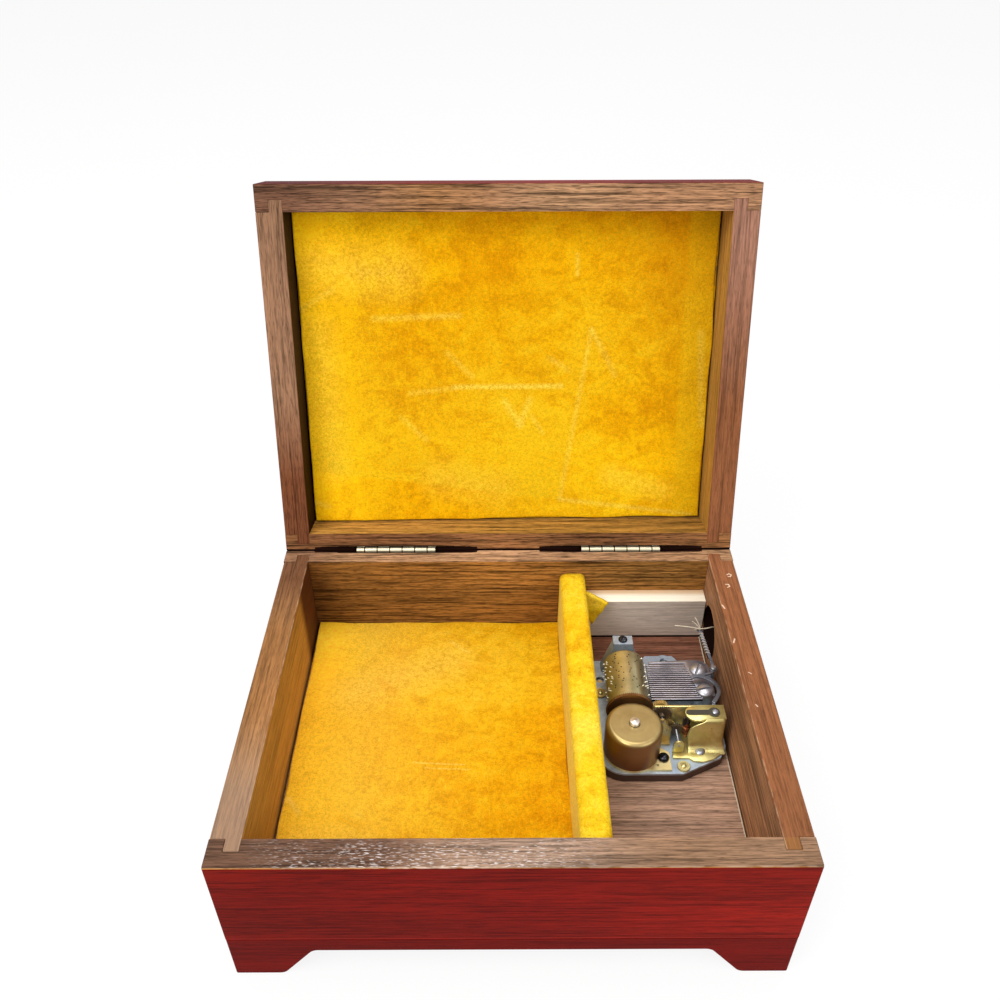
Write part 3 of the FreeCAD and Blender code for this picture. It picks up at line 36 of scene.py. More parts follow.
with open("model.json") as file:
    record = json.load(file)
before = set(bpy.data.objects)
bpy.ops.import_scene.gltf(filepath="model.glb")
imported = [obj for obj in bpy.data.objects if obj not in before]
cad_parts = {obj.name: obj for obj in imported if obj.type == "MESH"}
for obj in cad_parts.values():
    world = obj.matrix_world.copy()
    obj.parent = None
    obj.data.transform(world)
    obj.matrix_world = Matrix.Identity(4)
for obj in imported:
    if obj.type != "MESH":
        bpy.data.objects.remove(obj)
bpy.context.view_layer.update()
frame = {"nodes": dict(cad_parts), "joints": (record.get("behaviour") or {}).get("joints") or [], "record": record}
nodes = frame["nodes"]
record = frame["record"]
joints = {joint["name"]: joint for joint in frame["joints"]}
body_of = {name: body for body, names in record["behaviour"]["bodies"].items() for name in names}
slot_of = {part["node"]: part["material_slot"] for part in record["subparts"]}
MM = 0.001


# Places read from the frame

def node_box(name):
    """Lowest and highest corner of a node, as vectors."""
    low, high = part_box(name)
    return Vector(low), Vector(high)


case_low, case_high = node_box("case_front")
HALF_WIDTH = case_high.x
HALF_DEPTH = -case_low.y
RIM = case_high.z
FLOOR_TOP = node_box("floor_board")[1].z
PLINTH_TOP = case_low.z
WALL = 8.3 * MM
drum_low, drum_high = node_box("spring_drum")
DRUM_AXIS = (drum_low + drum_high) / 2
MOVEMENT = Vector((DRUM_AXIS.x, DRUM_AXIS.y, node_box("base_casting")[0].z))
HINGE = Vector(joints["lid_hinge"]["pos_m"])
OPEN_ANGLE = math.radians(-joints["lid_hinge"]["range_deg"][0])
LID_SWING = Matrix.Translation(HINGE) @ Matrix.Rotation(-OPEN_ANGLE, 4, "X") @ Matrix.Translation(-HINGE)
LID_HEIGHT = 20 * MM
LID_ROUND = 3.9 * MM
# Half the distance between the hinges' middles, and the length of one knuckle
HINGE_SPREAD = 38.7 * MM
KNUCKLE_PITCH = 4.3 * MM
# The movement's heights above its base, and the comb's teeth, in millimetres
BARREL_AXIS = 11.2
COMB_TEETH = 18
TRACK_PITCH = 0.83
LEVER_LOW = 13.55


def spot(x, y, z):
    """A place in the movement, in millimetres from the drum's axis and the base's underside."""
    return MOVEMENT + Vector((x, y, z)) * MM


# Materials

def colour(red, green, blue):
    """A colour read as the eye sees it, 0 to 255, as linear light."""
    linear = []
    for value in (red, green, blue):
        value /= 255
        linear.append(value / 12.92 if value <= 0.04045 else ((value + 0.055) / 1.055) ** 2.4)
    return tuple(linear)


def triple(value):
    """Three numbers, given as three or as one for all."""
    return tuple(value) if hasattr(value, "__len__") else (value, value, value)


class Paint:
    """A material and short ways to add nodes to it. Tones are colours from 0 to 255."""

    def __init__(self, name, on_lid=False):
        self.material = bpy.data.materials.new(name)
        self.material.use_nodes = True
        self.tree = self.material.node_tree
        self.skin = self.tree.nodes["Principled BSDF"]
        self.coords = self.add("ShaderNodeTexCoord").outputs["Object"]
        if on_lid:
            back = LID_SWING.inverted()
            self.coords = self.stretch(1, back.to_translation(), back.to_euler())

    def add(self, kind, operation=None, **inputs):
        node = self.tree.nodes.new(kind)
        if operation is not None:
            node.operation = operation
        for name, value in inputs.items():
            key = int(name[1:]) if name[1:].isdigit() else name.replace("_", " ")
            self.feed(node.inputs[key], value)
        return node

    def feed(self, socket, value):
        if isinstance(value, bpy.types.NodeSocket):
            self.tree.links.new(value, socket)
        else:
            socket.default_value = value

    def set(self, **inputs):
        for name, value in inputs.items():
            self.feed(self.skin.inputs[name.replace("_", " ")], value)

    def math(self, operation, first, second=0.0, third=0.0):
        return self.add("ShaderNodeMath", operation, _0=first, _1=second, _2=third).outputs[0]

    def times(self, first, *others):
        """Product of two or more values."""
        for other in others:
            first = self.math("MULTIPLY", first, other)
        return first

    def less(self, first, second):
        """The first value less the second."""
        return self.math("SUBTRACT", first, second)

    def size(self, value):
        """A value without its sign."""
        return self.math("ABSOLUTE", value)

    def length(self, first, second):
        """Length of the line to a place with these two coordinates."""
        return self.math("SQRT", self.math("ADD", self.times(first, first), self.times(second, second)))

    def axis(self, name, source=None):
        split = self.add("ShaderNodeSeparateXYZ", _0=source or self.coords)
        return split.outputs["XYZ".index(name)]

    def over(self, name, place):
        """1 where a coordinate is greater than a place in metres."""
        return self.math("GREATER_THAN", self.axis(name), place)

    def under(self, name, place):
        """1 where a coordinate is less than a place in metres."""
        return self.math("LESS_THAN", self.axis(name), place)

    def near(self, name, place, reach):
        """1 within a reach of a place, both in metres."""
        return self.math("LESS_THAN", self.size(self.less(self.axis(name), place)), reach)

    def fade(self, value, start, end):
        """0 where a value is at start, 1 where it is at end."""
        return self.add("ShaderNodeMapRange", _0=value, _1=start, _2=end).outputs[0]

    def slope(self, name, start, end):
        """0 where a coordinate is at start, 1 where it is at end. Millimetres."""
        return self.fade(self.axis(name), start * MM, end * MM)

    def band(self, name, low, high, soft):
        """1 between two places of an axis, fading to 0 over a soft border. Millimetres."""
        rise = self.slope(name, low - soft, low + soft)
        return self.times(rise, self.slope(name, high + soft, high - soft))

    def box_mask(self, low, high, soft):
        """1 inside a box given in metres, fading to 0 over a soft border in millimetres."""
        return self.times(*(self.band(name, start / MM, end / MM, soft)
                            for name, start, end in zip("XYZ", low, high)))

    def stroke(self, start, end, width):
        """1 along a line between two points of the ground plane, fading to 0 beside it. Millimetres."""
        middle = [(a + b) / 2 * MM for a, b in zip(start, end)]
        run = math.dist(start, end) * MM
        angle = math.atan2(end[1] - start[1], end[0] - start[0])
        x = self.less(self.axis("X"), middle[0])
        y = self.less(self.axis("Y"), middle[1])
        along = self.math("ADD", self.times(x, math.cos(angle)), self.times(y, math.sin(angle)))
        across = self.less(self.times(y, math.cos(angle)), self.times(x, math.sin(angle)))
        past = self.math("MAXIMUM", self.less(self.size(along), run / 2), 0.0)
        return self.fade(self.length(past, across), width * MM, 0.0)

    def left_of(self, start, end, soft):
        """1 to the left of a line through two points of the ground plane, 0 to its right. Millimetres."""
        run = math.dist(start, end)
        rise = self.times(self.less(self.axis("Y"), start[1] * MM), (end[0] - start[0]) / run)
        fall = self.times(self.less(self.axis("X"), start[0] * MM), (end[1] - start[1]) / run)
        return self.fade(self.less(rise, fall), -soft * MM, soft * MM)

    def stretch(self, scale, offset=0.0, turn=(0, 0, 0)):
        """Object coordinates, scaled to cells per metre."""
        return self.add("ShaderNodeMapping", Vector=self.coords, Location=triple(offset), Rotation=turn,
                        Scale=triple(scale)).outputs[0]

    def noise(self, cells, shift=0.0, detail=3.0, rough=0.5, warp=0.0, turn=(0, 0, 0)):
        """Noise with a number of cells per metre along each axis."""
        return self.add("ShaderNodeTexNoise", Vector=self.stretch(cells, shift, turn), Scale=1.0,
                        Detail=detail, Roughness=rough, Distortion=warp).outputs["Fac"]

    def ramp(self, value, *stops):
        """Colour ramp through (place, linear colour) stops. A colour may be one grey number."""
        node = self.add("ShaderNodeValToRGB", Fac=value)
        elements = node.color_ramp.elements
        while len(elements) < len(stops):
            elements.new(1.0)
        for element, (place, tone) in zip(elements, stops):
            element.position = place
            element.color = (*triple(tone), 1)
        return node.outputs["Color"]

    def mix(self, factor, first, second, blend="MIX"):
        node = self.tree.nodes.new("ShaderNodeMix")
        node.data_type = "RGBA"
        node.blend_type = blend
        for index, value in ((0, factor), (6, first), (7, second)):
            if not isinstance(value, bpy.types.NodeSocket) and hasattr(value, "__len__"):
                value = (*value, 1)
            self.feed(node.inputs[index], value)
        return node.outputs[2]

    def shaded(self, body, share, value, *stops):
        """Body times a grey ramp of a value."""
        return self.mix(share, body, self.ramp(value, *stops), "MULTIPLY")

    def tinted(self, body, mask, tone, share=1.0):
        """Body times a tone where a mask is 1. A tone over 255 makes it brighter."""
        return self.mix(self.times(mask, share), body, colour(*tone), "MULTIPLY")

    def covered(self, body, mask, tone, share=1.0):
        """Body with a tone in its place where a mask is 1."""
        return self.mix(self.times(mask, share), body, colour(*tone))

    def bump(self, height, strength, distance, under=None):
        node = self.add("ShaderNodeBump", Height=height, Strength=strength, Distance=distance)
        if under is not None:
            self.feed(node.inputs["Normal"], under)
        return node.outputs[0]


def shades(red, green, blue, spread=0.16):
    """Dark, middle and light tone of a wood."""
    return [colour(*(min(255, part * (1 + step * spread)) for part in (red, green, blue)))
            for step in (-1, 0, 1)]


def grain_scale(along, coarse, fine):
    """Cells per metre, few along the grain and many across it."""
    return tuple(coarse if axis == along else fine for axis in "XYZ")


def outer_face(paint, on_lid):
    """1 on the outer faces of the case or lid, 0 on the rim and inside."""
    x = paint.less(paint.size(paint.axis("X")), HALF_WIDTH - LID_ROUND)
    y = paint.less(paint.size(paint.axis("Y")), HALF_DEPTH - LID_ROUND)
    reach = paint.math("MAXIMUM", paint.math("MAXIMUM", x, y), 0.0)
    if on_lid:
        z = paint.less(paint.axis("Z"), RIM + LID_HEIGHT - LID_ROUND)
        reach = paint.length(reach, paint.math("MAXIMUM", z, 0.0))
    return paint.math("GREATER_THAN", reach, LID_ROUND - 0.12 * MM)


def wood(name, along, tones, rim=None, stain=None, seed=0.0, contrast=1.0, on_lid=False, extra=None):
    """Open grained wood, its grain along an axis. Rims and outer faces may have their own tones."""
    paint = Paint(name, on_lid)
    shift = (seed * 1.7, seed * 2.3, seed * 3.1)
    bands = paint.noise(grain_scale(along, 6, 50), shift, 3.0, 0.55, 0.7)
    lines = paint.noise(grain_scale(along, 28, 1350), shift, 4.0, 0.65, 0.25)
    fine = paint.noise(grain_scale(along, 170, 3000), shift, 2.0, 0.6)
    pores = paint.noise(grain_scale(along, 320, 3600), shift, 1.0)
    level = paint.math("MULTIPLY_ADD", bands, 0.45, paint.times(lines, 0.35))
    level = paint.math("MULTIPLY_ADD", fine, 0.2, level)

    def toned(three):
        return paint.ramp(level, *zip((0.4, 0.5, 0.6), three))

    body = toned(tones)
    if rim is not None:
        mask = paint.under("Z", RIM + 0.5 * MM) if on_lid else paint.over("Z", RIM - 0.35 * MM)
        body = paint.mix(mask, body, toned(rim))
    dark_lines = paint.ramp(lines, (0.37, 0.22), (0.46, 0.8), (0.54, 1.0))
    short_lines = paint.ramp(fine, (0.36, 0.3), (0.52, 1.0))
    body = paint.mix(0.7 * contrast, body, dark_lines, "MULTIPLY")
    body = paint.mix(0.5 * contrast, body, short_lines, "MULTIPLY")
    body = paint.shaded(body, 0.6 * contrast, pores, (0.34, 0.3), (0.43, 1.0))
    if stain is not None:
        red = paint.mix(0.4, toned(stain), dark_lines, "MULTIPLY")
        red = paint.mix(0.4, red, short_lines, "MULTIPLY")
        body = paint.mix(outer_face(paint, on_lid), body, red)
    if extra is not None:
        body = extra(paint, body, lines, fine)
    relief = paint.bump(pores, 0.3, 0.00012, paint.bump(lines, 0.15, 0.0002))
    paint.set(Base_Color=body, Roughness=0.55, Normal=relief, Specular_IOR_Level=0.03)
    return paint.material


RED = shades(116, 19, 12, 0.1)
DARK_RED = shades(104, 15, 9, 0.1)
LID_RED = shades(110, 24, 18, 0.1)


def front_wear_and_light(paint, body, lines, fine):
    """Front board: sparkle in the open grain of its rim, a worn pale edge, painted light that darkens its red face
    to the left and brightens it to the right, and a painted highlight along its joint with the plinth.
    """
    top = paint.over("Z", RIM - 0.3 * MM)
    body = paint.tinted(body, paint.times(paint.band("X", -120, -22, 10), top), (150, 142, 150), 0.9)
    body = paint.tinted(body, paint.times(paint.band("X", -18, 24, 14), top), (260, 276, 300))
    # Painted light: the red face darker to the left and brighter to the right, as the light falls.
    red = paint.under("Y", -HALF_DEPTH + 0.1 * MM)
    body = paint.tinted(body, paint.times(paint.slope("X", 0, -60), red), (240, 240, 225))
    body = paint.tinted(body, paint.times(paint.slope("X", 0, 64), red), (288, 288, 270))
    specks = paint.ramp(paint.noise((620, 4200, 4200), 5, 1.0), (0.57, 0.0), (0.7, 0.95))
    patches = paint.ramp(paint.noise((60, 160, 160), 2, 2.0), (0.38, 0.1), (0.5, 1.0))
    sparkle = paint.times(specks, patches, paint.band("X", -56, 14, 12), top)
    body = paint.covered(body, sparkle, (214, 204, 200))
    edge = paint.box_mask((-60 * MM, -HALF_DEPTH - 1 * MM, RIM - 0.45 * MM),
                          (HALF_WIDTH, -HALF_DEPTH + 0.4 * MM, RIM + 1 * MM), 0.15)
    overlay = paint.ramp(paint.noise((260, 900, 900), 8, 2.0, 0.6), (0.4, 0.0), (0.55, 1.0))
    strong = paint.math("MULTIPLY_ADD", paint.band("X", -33, -6, 5), 0.65, 0.3)
    body = paint.covered(body, paint.times(edge, strong, overlay), (214, 188, 168))
    # Painted highlight: a lighter red strip along the joint with the plinth.
    return paint.covered(body, paint.under("Z", PLINTH_TOP + 0.7 * MM), (158, 42, 34), 0.35)


def beside_hinge(paint):
    """Distance along the back edge from the middle of the nearer hinge."""
    return paint.size(paint.less(paint.size(paint.axis("X")), HINGE_SPREAD))


def hinge_gap_shade(paint, body):
    """Painted shade: black in the depth of the hinge slots and of the joint between lid and case."""
    along = beside_hinge(paint)
    in_slot = paint.math("LESS_THAN", along, 28.0 * MM)
    in_well = paint.math("LESS_THAN", along, 20.0 * MM)
    reach = paint.math("MULTIPLY_ADD", in_slot, 0.65 * MM, 0.45 * MM)
    reach = paint.math("MULTIPLY_ADD", in_well, 0.4 * MM, reach)
    back = paint.over("Y", paint.less(HINGE.y, reach))
    outside = paint.under("Y", HALF_DEPTH - 0.3 * MM)
    return paint.covered(body, paint.times(back, paint.near("Z", HINGE.z, 1.9 * MM), outside), (32, 15, 10))


def slotted_back(paint, body, lines, fine):
    """Back board: greyer at its left end, paler in the middle, with painted shade in the hinge slots."""
    body = paint.tinted(body, paint.slope("X", -54, -66), (205, 200, 205))
    body = paint.tinted(body, paint.band("X", -22, 14, 14), (276, 278, 280))
    return hinge_gap_shade(paint, body)


def lower_lid(paint, body, lines, fine):
    """Lower rail of the open lid: paler in the middle and at its right end, with painted shade in the hinge slots.
    """
    pale = paint.math("MAXIMUM", paint.band("X", -16, 14, 7), paint.slope("X", 40, 62))
    body = paint.tinted(body, paint.times(pale, paint.under("Z", RIM + 0.5 * MM)), (300, 302, 290))
    return hinge_gap_shade(paint, body)


def upper_lid(paint, body, lines, fine):
    """Upper rail of the open lid: darker to the left, golden in the middle."""
    body = paint.tinted(body, paint.slope("X", -30, -66), (184, 176, 186))
    body = paint.tinted(body, paint.band("X", -34, -10, 12), (255, 246, 220))
    return paint.tinted(body, paint.band("X", 4, 34, 10), (276, 284, 284))


def from_hinge(paint, start, end):
    """0 at the first distance from the hinge line, 1 at the second, in the closed lid. Millimetres."""
    return paint.slope("Y", HINGE.y / MM + start, HINGE.y / MM + end)


def lid_left(paint, body, lines, fine):
    """Left rail of the open lid: redder and darker towards the hinges."""
    return paint.tinted(body, from_hinge(paint, -56, -26), (200, 165, 145))


def lid_right(paint, body, lines, fine):
    """Right rail of the open lid: paler and greyer at its upper end."""
    pale = paint.times(from_hinge(paint, -50, -104), paint.under("Z", RIM + 0.5 * MM))
    return paint.tinted(body, pale, (292, 328, 400))


def arris_wear_and_highlight(paint, body, x):
    """Thin pale line, part wear and part painted highlight, where the rim of a side board meets its inner face."""
    line = paint.times(paint.near("X", x, 0.3 * MM), paint.over("Z", RIM - 0.4 * MM))
    overlay = paint.ramp(paint.noise((700, 200, 700), 0, 2.0, 0.6), (0.4, 0.0), (0.6, 0.4))
    return paint.covered(body, paint.times(line, overlay), (206, 172, 140))


def left_rim(paint, body, lines, fine):
    """Left board: a rim that is greyer and paler towards the front, an inner face dark at the back."""
    top = paint.over("Z", RIM - 0.35 * MM)
    body = paint.covered(body, paint.times(paint.slope("Y", -16, -48), top), (158, 142, 130), 0.35)
    body = paint.tinted(body, paint.times(paint.slope("Y", -34, -46), top), (238, 234, 232))
    body = paint.tinted(body, paint.times(paint.band("Y", -24, 34, 14), top), (255, 236, 206))
    wave = paint.math("MULTIPLY_ADD", lines, 5 * MM, paint.axis("Y"))
    inner = paint.times(paint.less(1.0, top), paint.over("X", -HALF_WIDTH + 0.6 * WALL))
    body = paint.tinted(body, paint.times(paint.fade(wave, 36 * MM, 41 * MM), inner), (132, 110, 128))
    body = paint.tinted(body, paint.times(paint.slope("Y", 24, 44), top), (196, 178, 176))
    return arris_wear_and_highlight(paint, body, -HALF_WIDTH + WALL)


CHIPS = [((72.9, 45.6), (73.6, 46.1), 0.33), ((73.6, 46.1), (74.3, 45.5), 0.33),
         ((74.3, 45.5), (73.9, 44.7), 0.33), ((73.9, 44.7), (73.1, 44.7), 0.3),
         ((71.6, 40.9), (72.5, 40.8), 0.36), ((72.5, 40.8), (72.7, 39.9), 0.33),
         ((72.7, 39.9), (71.9, 39.4), 0.3), ((68.6, 31.0), (69.1, 29.5), 0.39),
         ((69.6, 15.9), (69.0, 14.4), 0.39), ((71.0, 2.2), (71.8, 1.6), 0.24),
         ((70.5, -10.2), (70.9, -10.9), 0.3)]


def right_wall(paint, body, lines, fine):
    """Right board: pale chips in its rim, a golden front tongue, painted shade on its inner face behind the
    movement and painted shade in the depth of the thread pocket.
    """
    top = paint.over("Z", RIM - 0.3 * MM)
    inside = paint.less(1.0, top)
    tongue = paint.under("Y", -HALF_DEPTH + WALL - 0.2 * MM)
    body = paint.covered(body, paint.times(tongue, top), (150, 108, 58), 0.35)
    body = paint.shaded(body, inside, paint.noise((60, 16, 160), 6, 3.0, 0.6), (0.4, 0.72), (0.6, 1.1))
    # Painted shade: the inner face darker behind the movement.
    body = paint.tinted(body, paint.times(paint.band("Y", -4, 14, 10), inside), (215, 205, 195))
    body = paint.shaded(body, paint.times(inside, 0.45), lines, (0.4, 0.4), (0.55, 1.0))
    for start, end, size in CHIPS:
        chip = paint.ramp(paint.stroke(start, end, size), (0.25, 0.0), (0.6, 1.0))
        body = paint.covered(body, paint.times(chip, top), (226, 196, 172), 0.8)
    body = arris_wear_and_highlight(paint, body, HALF_WIDTH - WALL)
    # Painted shade: nearly black inside the thread pocket.
    depth = paint.box_mask((HALF_WIDTH - WALL + 0.25 * MM, 29.5 * MM, FLOOR_TOP + 0.3 * MM),
                           (HALF_WIDTH - 2.5 * MM, 49 * MM, FLOOR_TOP + 19.6 * MM), 0.1)
    return paint.covered(body, depth, (26, 14, 10))


def sawn_floor(paint, body, lines, fine):
    """Bare floor: painted shade that makes it redder and darker at the back, raw and pale along its sawn right
    edge.
    """
    # Painted shade behind the movement's base.
    body = paint.tinted(body, paint.slope("Y", 24, 38), (196, 164, 156))
    edge = paint.math("MULTIPLY_ADD", fine, 0.7 * MM, paint.axis("X"))
    return paint.covered(body, paint.math("GREATER_THAN", edge, 67.75 * MM), (196, 180, 158))


def raw_top(paint, body, lines, fine):
    """Pale raw upper edge of the rear board with a brown ply in it, and painted shade in the gap below it."""
    high = node_box("support_board")[1]
    y = paint.math("MULTIPLY_ADD", fine, 0.8 * MM, paint.axis("Y"))
    ply = paint.fade(y, high.y - 2.6 * MM, high.y - 0.8 * MM)
    pale = paint.mix(ply, colour(250, 242, 220), colour(224, 192, 154))
    pale = paint.shaded(pale, 0.35, lines, (0.35, 0.7), (0.55, 1.0))
    body = paint.mix(paint.over("Z", high.z - 0.12 * MM), body, pale)
    # Painted shade: a dark line in the gap under the board.
    floor = FLOOR_TOP / MM
    return paint.covered(body, paint.slope("Z", floor + 1.15, floor + 0.8), (30, 20, 16))


def velvet(name, tones, seed=0.0, crush=0.1, on_lid=False, marks=(), overlay=None):
    """Short golden pile: crushed whorls, fine mottle, crossing fibres, and marks where it was pressed."""
    paint = Paint(name, on_lid)
    shift = (seed, seed * 2, seed * 3)
    clouds = paint.noise((15, 20, 20), shift, 3.0, 0.55, 0.6)
    whorls = paint.noise((150, 190, 190), shift, 3.0, 0.65, 0.7)
    mottle = paint.noise((1050, 1150, 1150), shift, 3.0, 0.75, 0.4)
    grain = paint.noise(2600, shift, 2.0, 0.6)
    level = paint.math("MULTIPLY_ADD", whorls, 0.4, paint.times(clouds, 0.6))
    body = paint.ramp(level, *zip((0.38, 0.5, 0.62), tones))
    body = paint.shaded(body, crush, whorls, (0.33, 0.35), (0.5, 1.0))
    for turn in (0.75, -0.85):
        fibres = paint.noise((1500, 260, 260), shift, 1.0, turn=(0, 0, turn))
        body = paint.mix(paint.ramp(fibres, (0.6, 0.0), (0.74, 0.35)), body, tones[2])
    # The overlay adds a lining's own tones and its painted light.
    if overlay is not None:
        body = overlay(paint, body, tones, whorls)
    broken = paint.ramp(mottle, (0.4, 0.35), (0.6, 1.0))
    for start, end, width, strength in marks:
        line = paint.times(paint.stroke(start, end, width), abs(strength), broken)
        body = paint.mix(line, body, tones[3] if strength > 0 else tones[0])
    body = paint.shaded(body, 0.5, mottle, (0.34, 0.5), (0.6, 1.0))
    body = paint.shaded(body, 0.5, grain, (0.3, 0.55), (0.62, 1.0))
    relief = paint.bump(mottle, 0.3, 0.0005, paint.bump(grain, 0.5, 0.0003))
    paint.set(Base_Color=body, Roughness=0.9, Normal=relief, Sheen_Weight=0.1, Sheen_Roughness=0.4,
              Sheen_Tint=(1.0, 0.75, 0.2, 1), Specular_IOR_Level=0.05)
    return paint.material


def lid_pile_and_light(paint, body, tones, whorls):
    """Lid velvet: darker high on the right, painted light that makes it paler down the left and brighter at its
    top and bottom, and pale where a picture leaned.
    """
    corner = paint.times(paint.slope("X", 24, 54), from_hinge(paint, -50, -92))
    body = paint.tinted(body, corner, (228, 208, 170))
    # Painted light: paler down the left, brighter towards the top, the bottom and the left edge.
    body = paint.mix(paint.times(paint.slope("X", -34, -66), 0.5), body, tones[2])
    body = paint.mix(paint.times(paint.band("X", -24, 22, 18), 0.3), body, tones[0])
    body = paint.tinted(body, from_hinge(paint, -52, -26), (270, 270, 240))
    body = paint.tinted(body, from_hinge(paint, -84, -104), (266, 264, 250))
    body = paint.tinted(body, paint.slope("X", -46, -62), (280, 276, 262))
    back = HINGE.y / MM
    inside = paint.left_of((18.3, back - 13.4), (27.6, back - 73.5), -0.5)
    above = paint.left_of((18.3, back - 13.4), (64.5, back - 7.2), -0.5)
    leaned = paint.times(inside, above, from_hinge(paint, -70, -24),
                         paint.ramp(whorls, (0.4, 0.35), (0.6, 0.8)))
    body = paint.mix(leaned, body, tones[2])
    return paint.mix(paint.times(paint.slope("X", 57, 59), 0.4), body, tones[2])


def pad_tone_and_light(paint, body, tones, whorls):
    """Pad velvet: painted light that makes it paler on the left and in its rear left corner, and deeper gold
    towards the divider.
    """
    # Painted light: paler towards the left wall and in the rear left corner.
    body = paint.mix(paint.times(paint.slope("X", -6, -50), 0.6), body, tones[2])
    body = paint.tinted(body, paint.slope("X", -46, -61), (284, 284, 250))
    rear = paint.times(paint.slope("X", -50, -61), paint.slope("Y", 10, 38))
    body = paint.tinted(body, rear, (280, 280, 270))
    return paint.tinted(body, paint.slope("X", -40, 6), (251, 251, 120), 0.85)


def pale_side(paint, body, tones, whorls):
    """Divider velvet: painted light that makes its flat side paler than the pile along the top."""
    low, high = node_box("divider_velvet")
    flat = paint.slope("Z", high.z / MM - 1.5, high.z / MM - 3.0)
    side = paint.times(paint.under("X", low.x + 0.9 * MM), flat)
    return paint.covered(body, side, (262, 232, 110), 0.65)


FLOOR_GOLD = (colour(230, 156, 8), colour(240, 178, 28), colour(248, 196, 60), colour(255, 222, 116))
LID_GOLD = (colour(226, 154, 0), colour(244, 182, 6), colour(252, 204, 26), colour(255, 230, 92))
DIVIDER_GOLD = (colour(240, 178, 14), colour(248, 204, 34), colour(254, 218, 70), colour(255, 230, 112))
LID_MARKS = [((-18, -54.4), (18, -54.4), 1.3, 0.75), ((-33, -52.4), (-18, -54.1), 1.4, 0.3),
             ((27.6, -73.5), (18.3, -13.4), 1.3, 0.35), ((18.3, -13.4), (64.5, -7.2), 1.3, 0.5),
             ((27.6, -73.5), (30.4, -68.5), 1.3, 0.4), ((30.4, -68.5), (36, -58), 1.7, 0.3),
             ((-44, -77.6), (-16, -78.4), 1.6, 0.4), ((-68, -80.4), (-57, -86.8), 1.6, 0.3),
             ((-1, -49.1), (4.1, -41.0), 1.9, 0.45), ((7.4, -49.8), (4.1, -41.0), 1.8, 0.45),
             ((-28.6, -34.0), (-22.4, -33.9), 0.5, -0.9), ((-69, -13.8), (-62.8, -11.9), 1.6, 0.4),
             ((22.4, -97.6), (22.5, -91.3), 1.0, 0.5), ((54.5, -105), (60, -86), 3.0, -0.5),
             ((48, -100), (56, -60), 1.2, -0.3), ((-20, -66), (-12, -58), 1.6, 0.3),
             ((64, -72), (66.5, -40), 1.8, 0.4), ((8, -44), (12, -38), 1.2, 0.35),
             ((-36, -44), (-28, -36), 1.6, 0.3), ((-44, -60), (-38, -68), 1.6, -0.4),
             ((14, -64), (20, -60), 1.6, 0.3), ((-60, -94), (-36, -92), 12, 0.3),
             ((-62, -74), (-60, -26), 8, 0.22), ((30, -104), (60, -98), 14, -0.4),
             ((-24, -22), (-4, -18), 10, 0.2), ((36, -22), (54, -16), 6, 0.25),
             ((52, -70), (58, -34), 7, -0.25), ((-8, -92), (16, -88), 9, -0.25),
             ((-40, -30), (-20, -28), 7, -0.2)]
PAD_MARKS = [((-66, -21), (-62, -26), 1.4, 0.4), ((-20, 43), (-14, 38), 1.2, 0.25),
             ((-30, -8), (-14, -9), 0.4, 0.5), ((-26, -10), (-12, -10.8), 0.4, 0.4),
             ((4, -20), (9, -15), 0.6, -0.6), ((-44, 26), (-38, 20), 2.0, -0.7),
             ((-16, 32), (-8, 30), 2.4, -0.6), ((-50, -28), (-44, -30), 2.0, -0.5),
             ((-52, 20), (-20, 34), 12, 0.2), ((-24, 6), (-4, -2), 9, -0.25),
             ((-60, -36), (-40, -40), 9, 0.2), ((-2, -36), (10, -20), 8, -0.2),
             ((-8, 34), (0, 38), 5, -0.4), ((-36, 8), (-30, 2), 4, -0.3)]


def lid_marks():
    """Pile marks, given by their distance from the hinge line, in the closed lid's plane."""
    back = HINGE.y / MM
    return [((x, back + y), (end_x, back + end_y), width, strength)
            for (x, y), (end_x, end_y), width, strength in LID_MARKS]


def metal(name, clean, aged, rough=0.3, seed=0.0, amount=0.5, share=0.8, scratch=0.1, brushed=None,
          shade=None):
    """Metal with soft patches of tarnish and faint scratches, brushed along an axis if asked."""
    paint = Paint(name)
    shift = (seed, seed * 2, seed * 3)
    patches = paint.noise(150, shift, 3.0, 0.55)
    body = paint.covered(colour(*clean), paint.ramp(patches, (0.38, 0.0), (0.66, amount)), aged)
    cells = 1400 if brushed is None else grain_scale(brushed, 120, 2400)
    scratches = paint.noise(cells, shift, 2.0, 0.6)
    body = paint.shaded(body, scratch, scratches, (0.3, 0.3), (0.6, 1.0))
    if shade is not None:
        body = shade(paint, body)
    roughness = paint.math("MULTIPLY_ADD", patches, 0.16, rough - 0.08)
    relief = paint.bump(scratches, 0.03, 0.00005)
    paint.set(Base_Color=body, Metallic=share, Roughness=roughness, Normal=relief)
    return paint.material


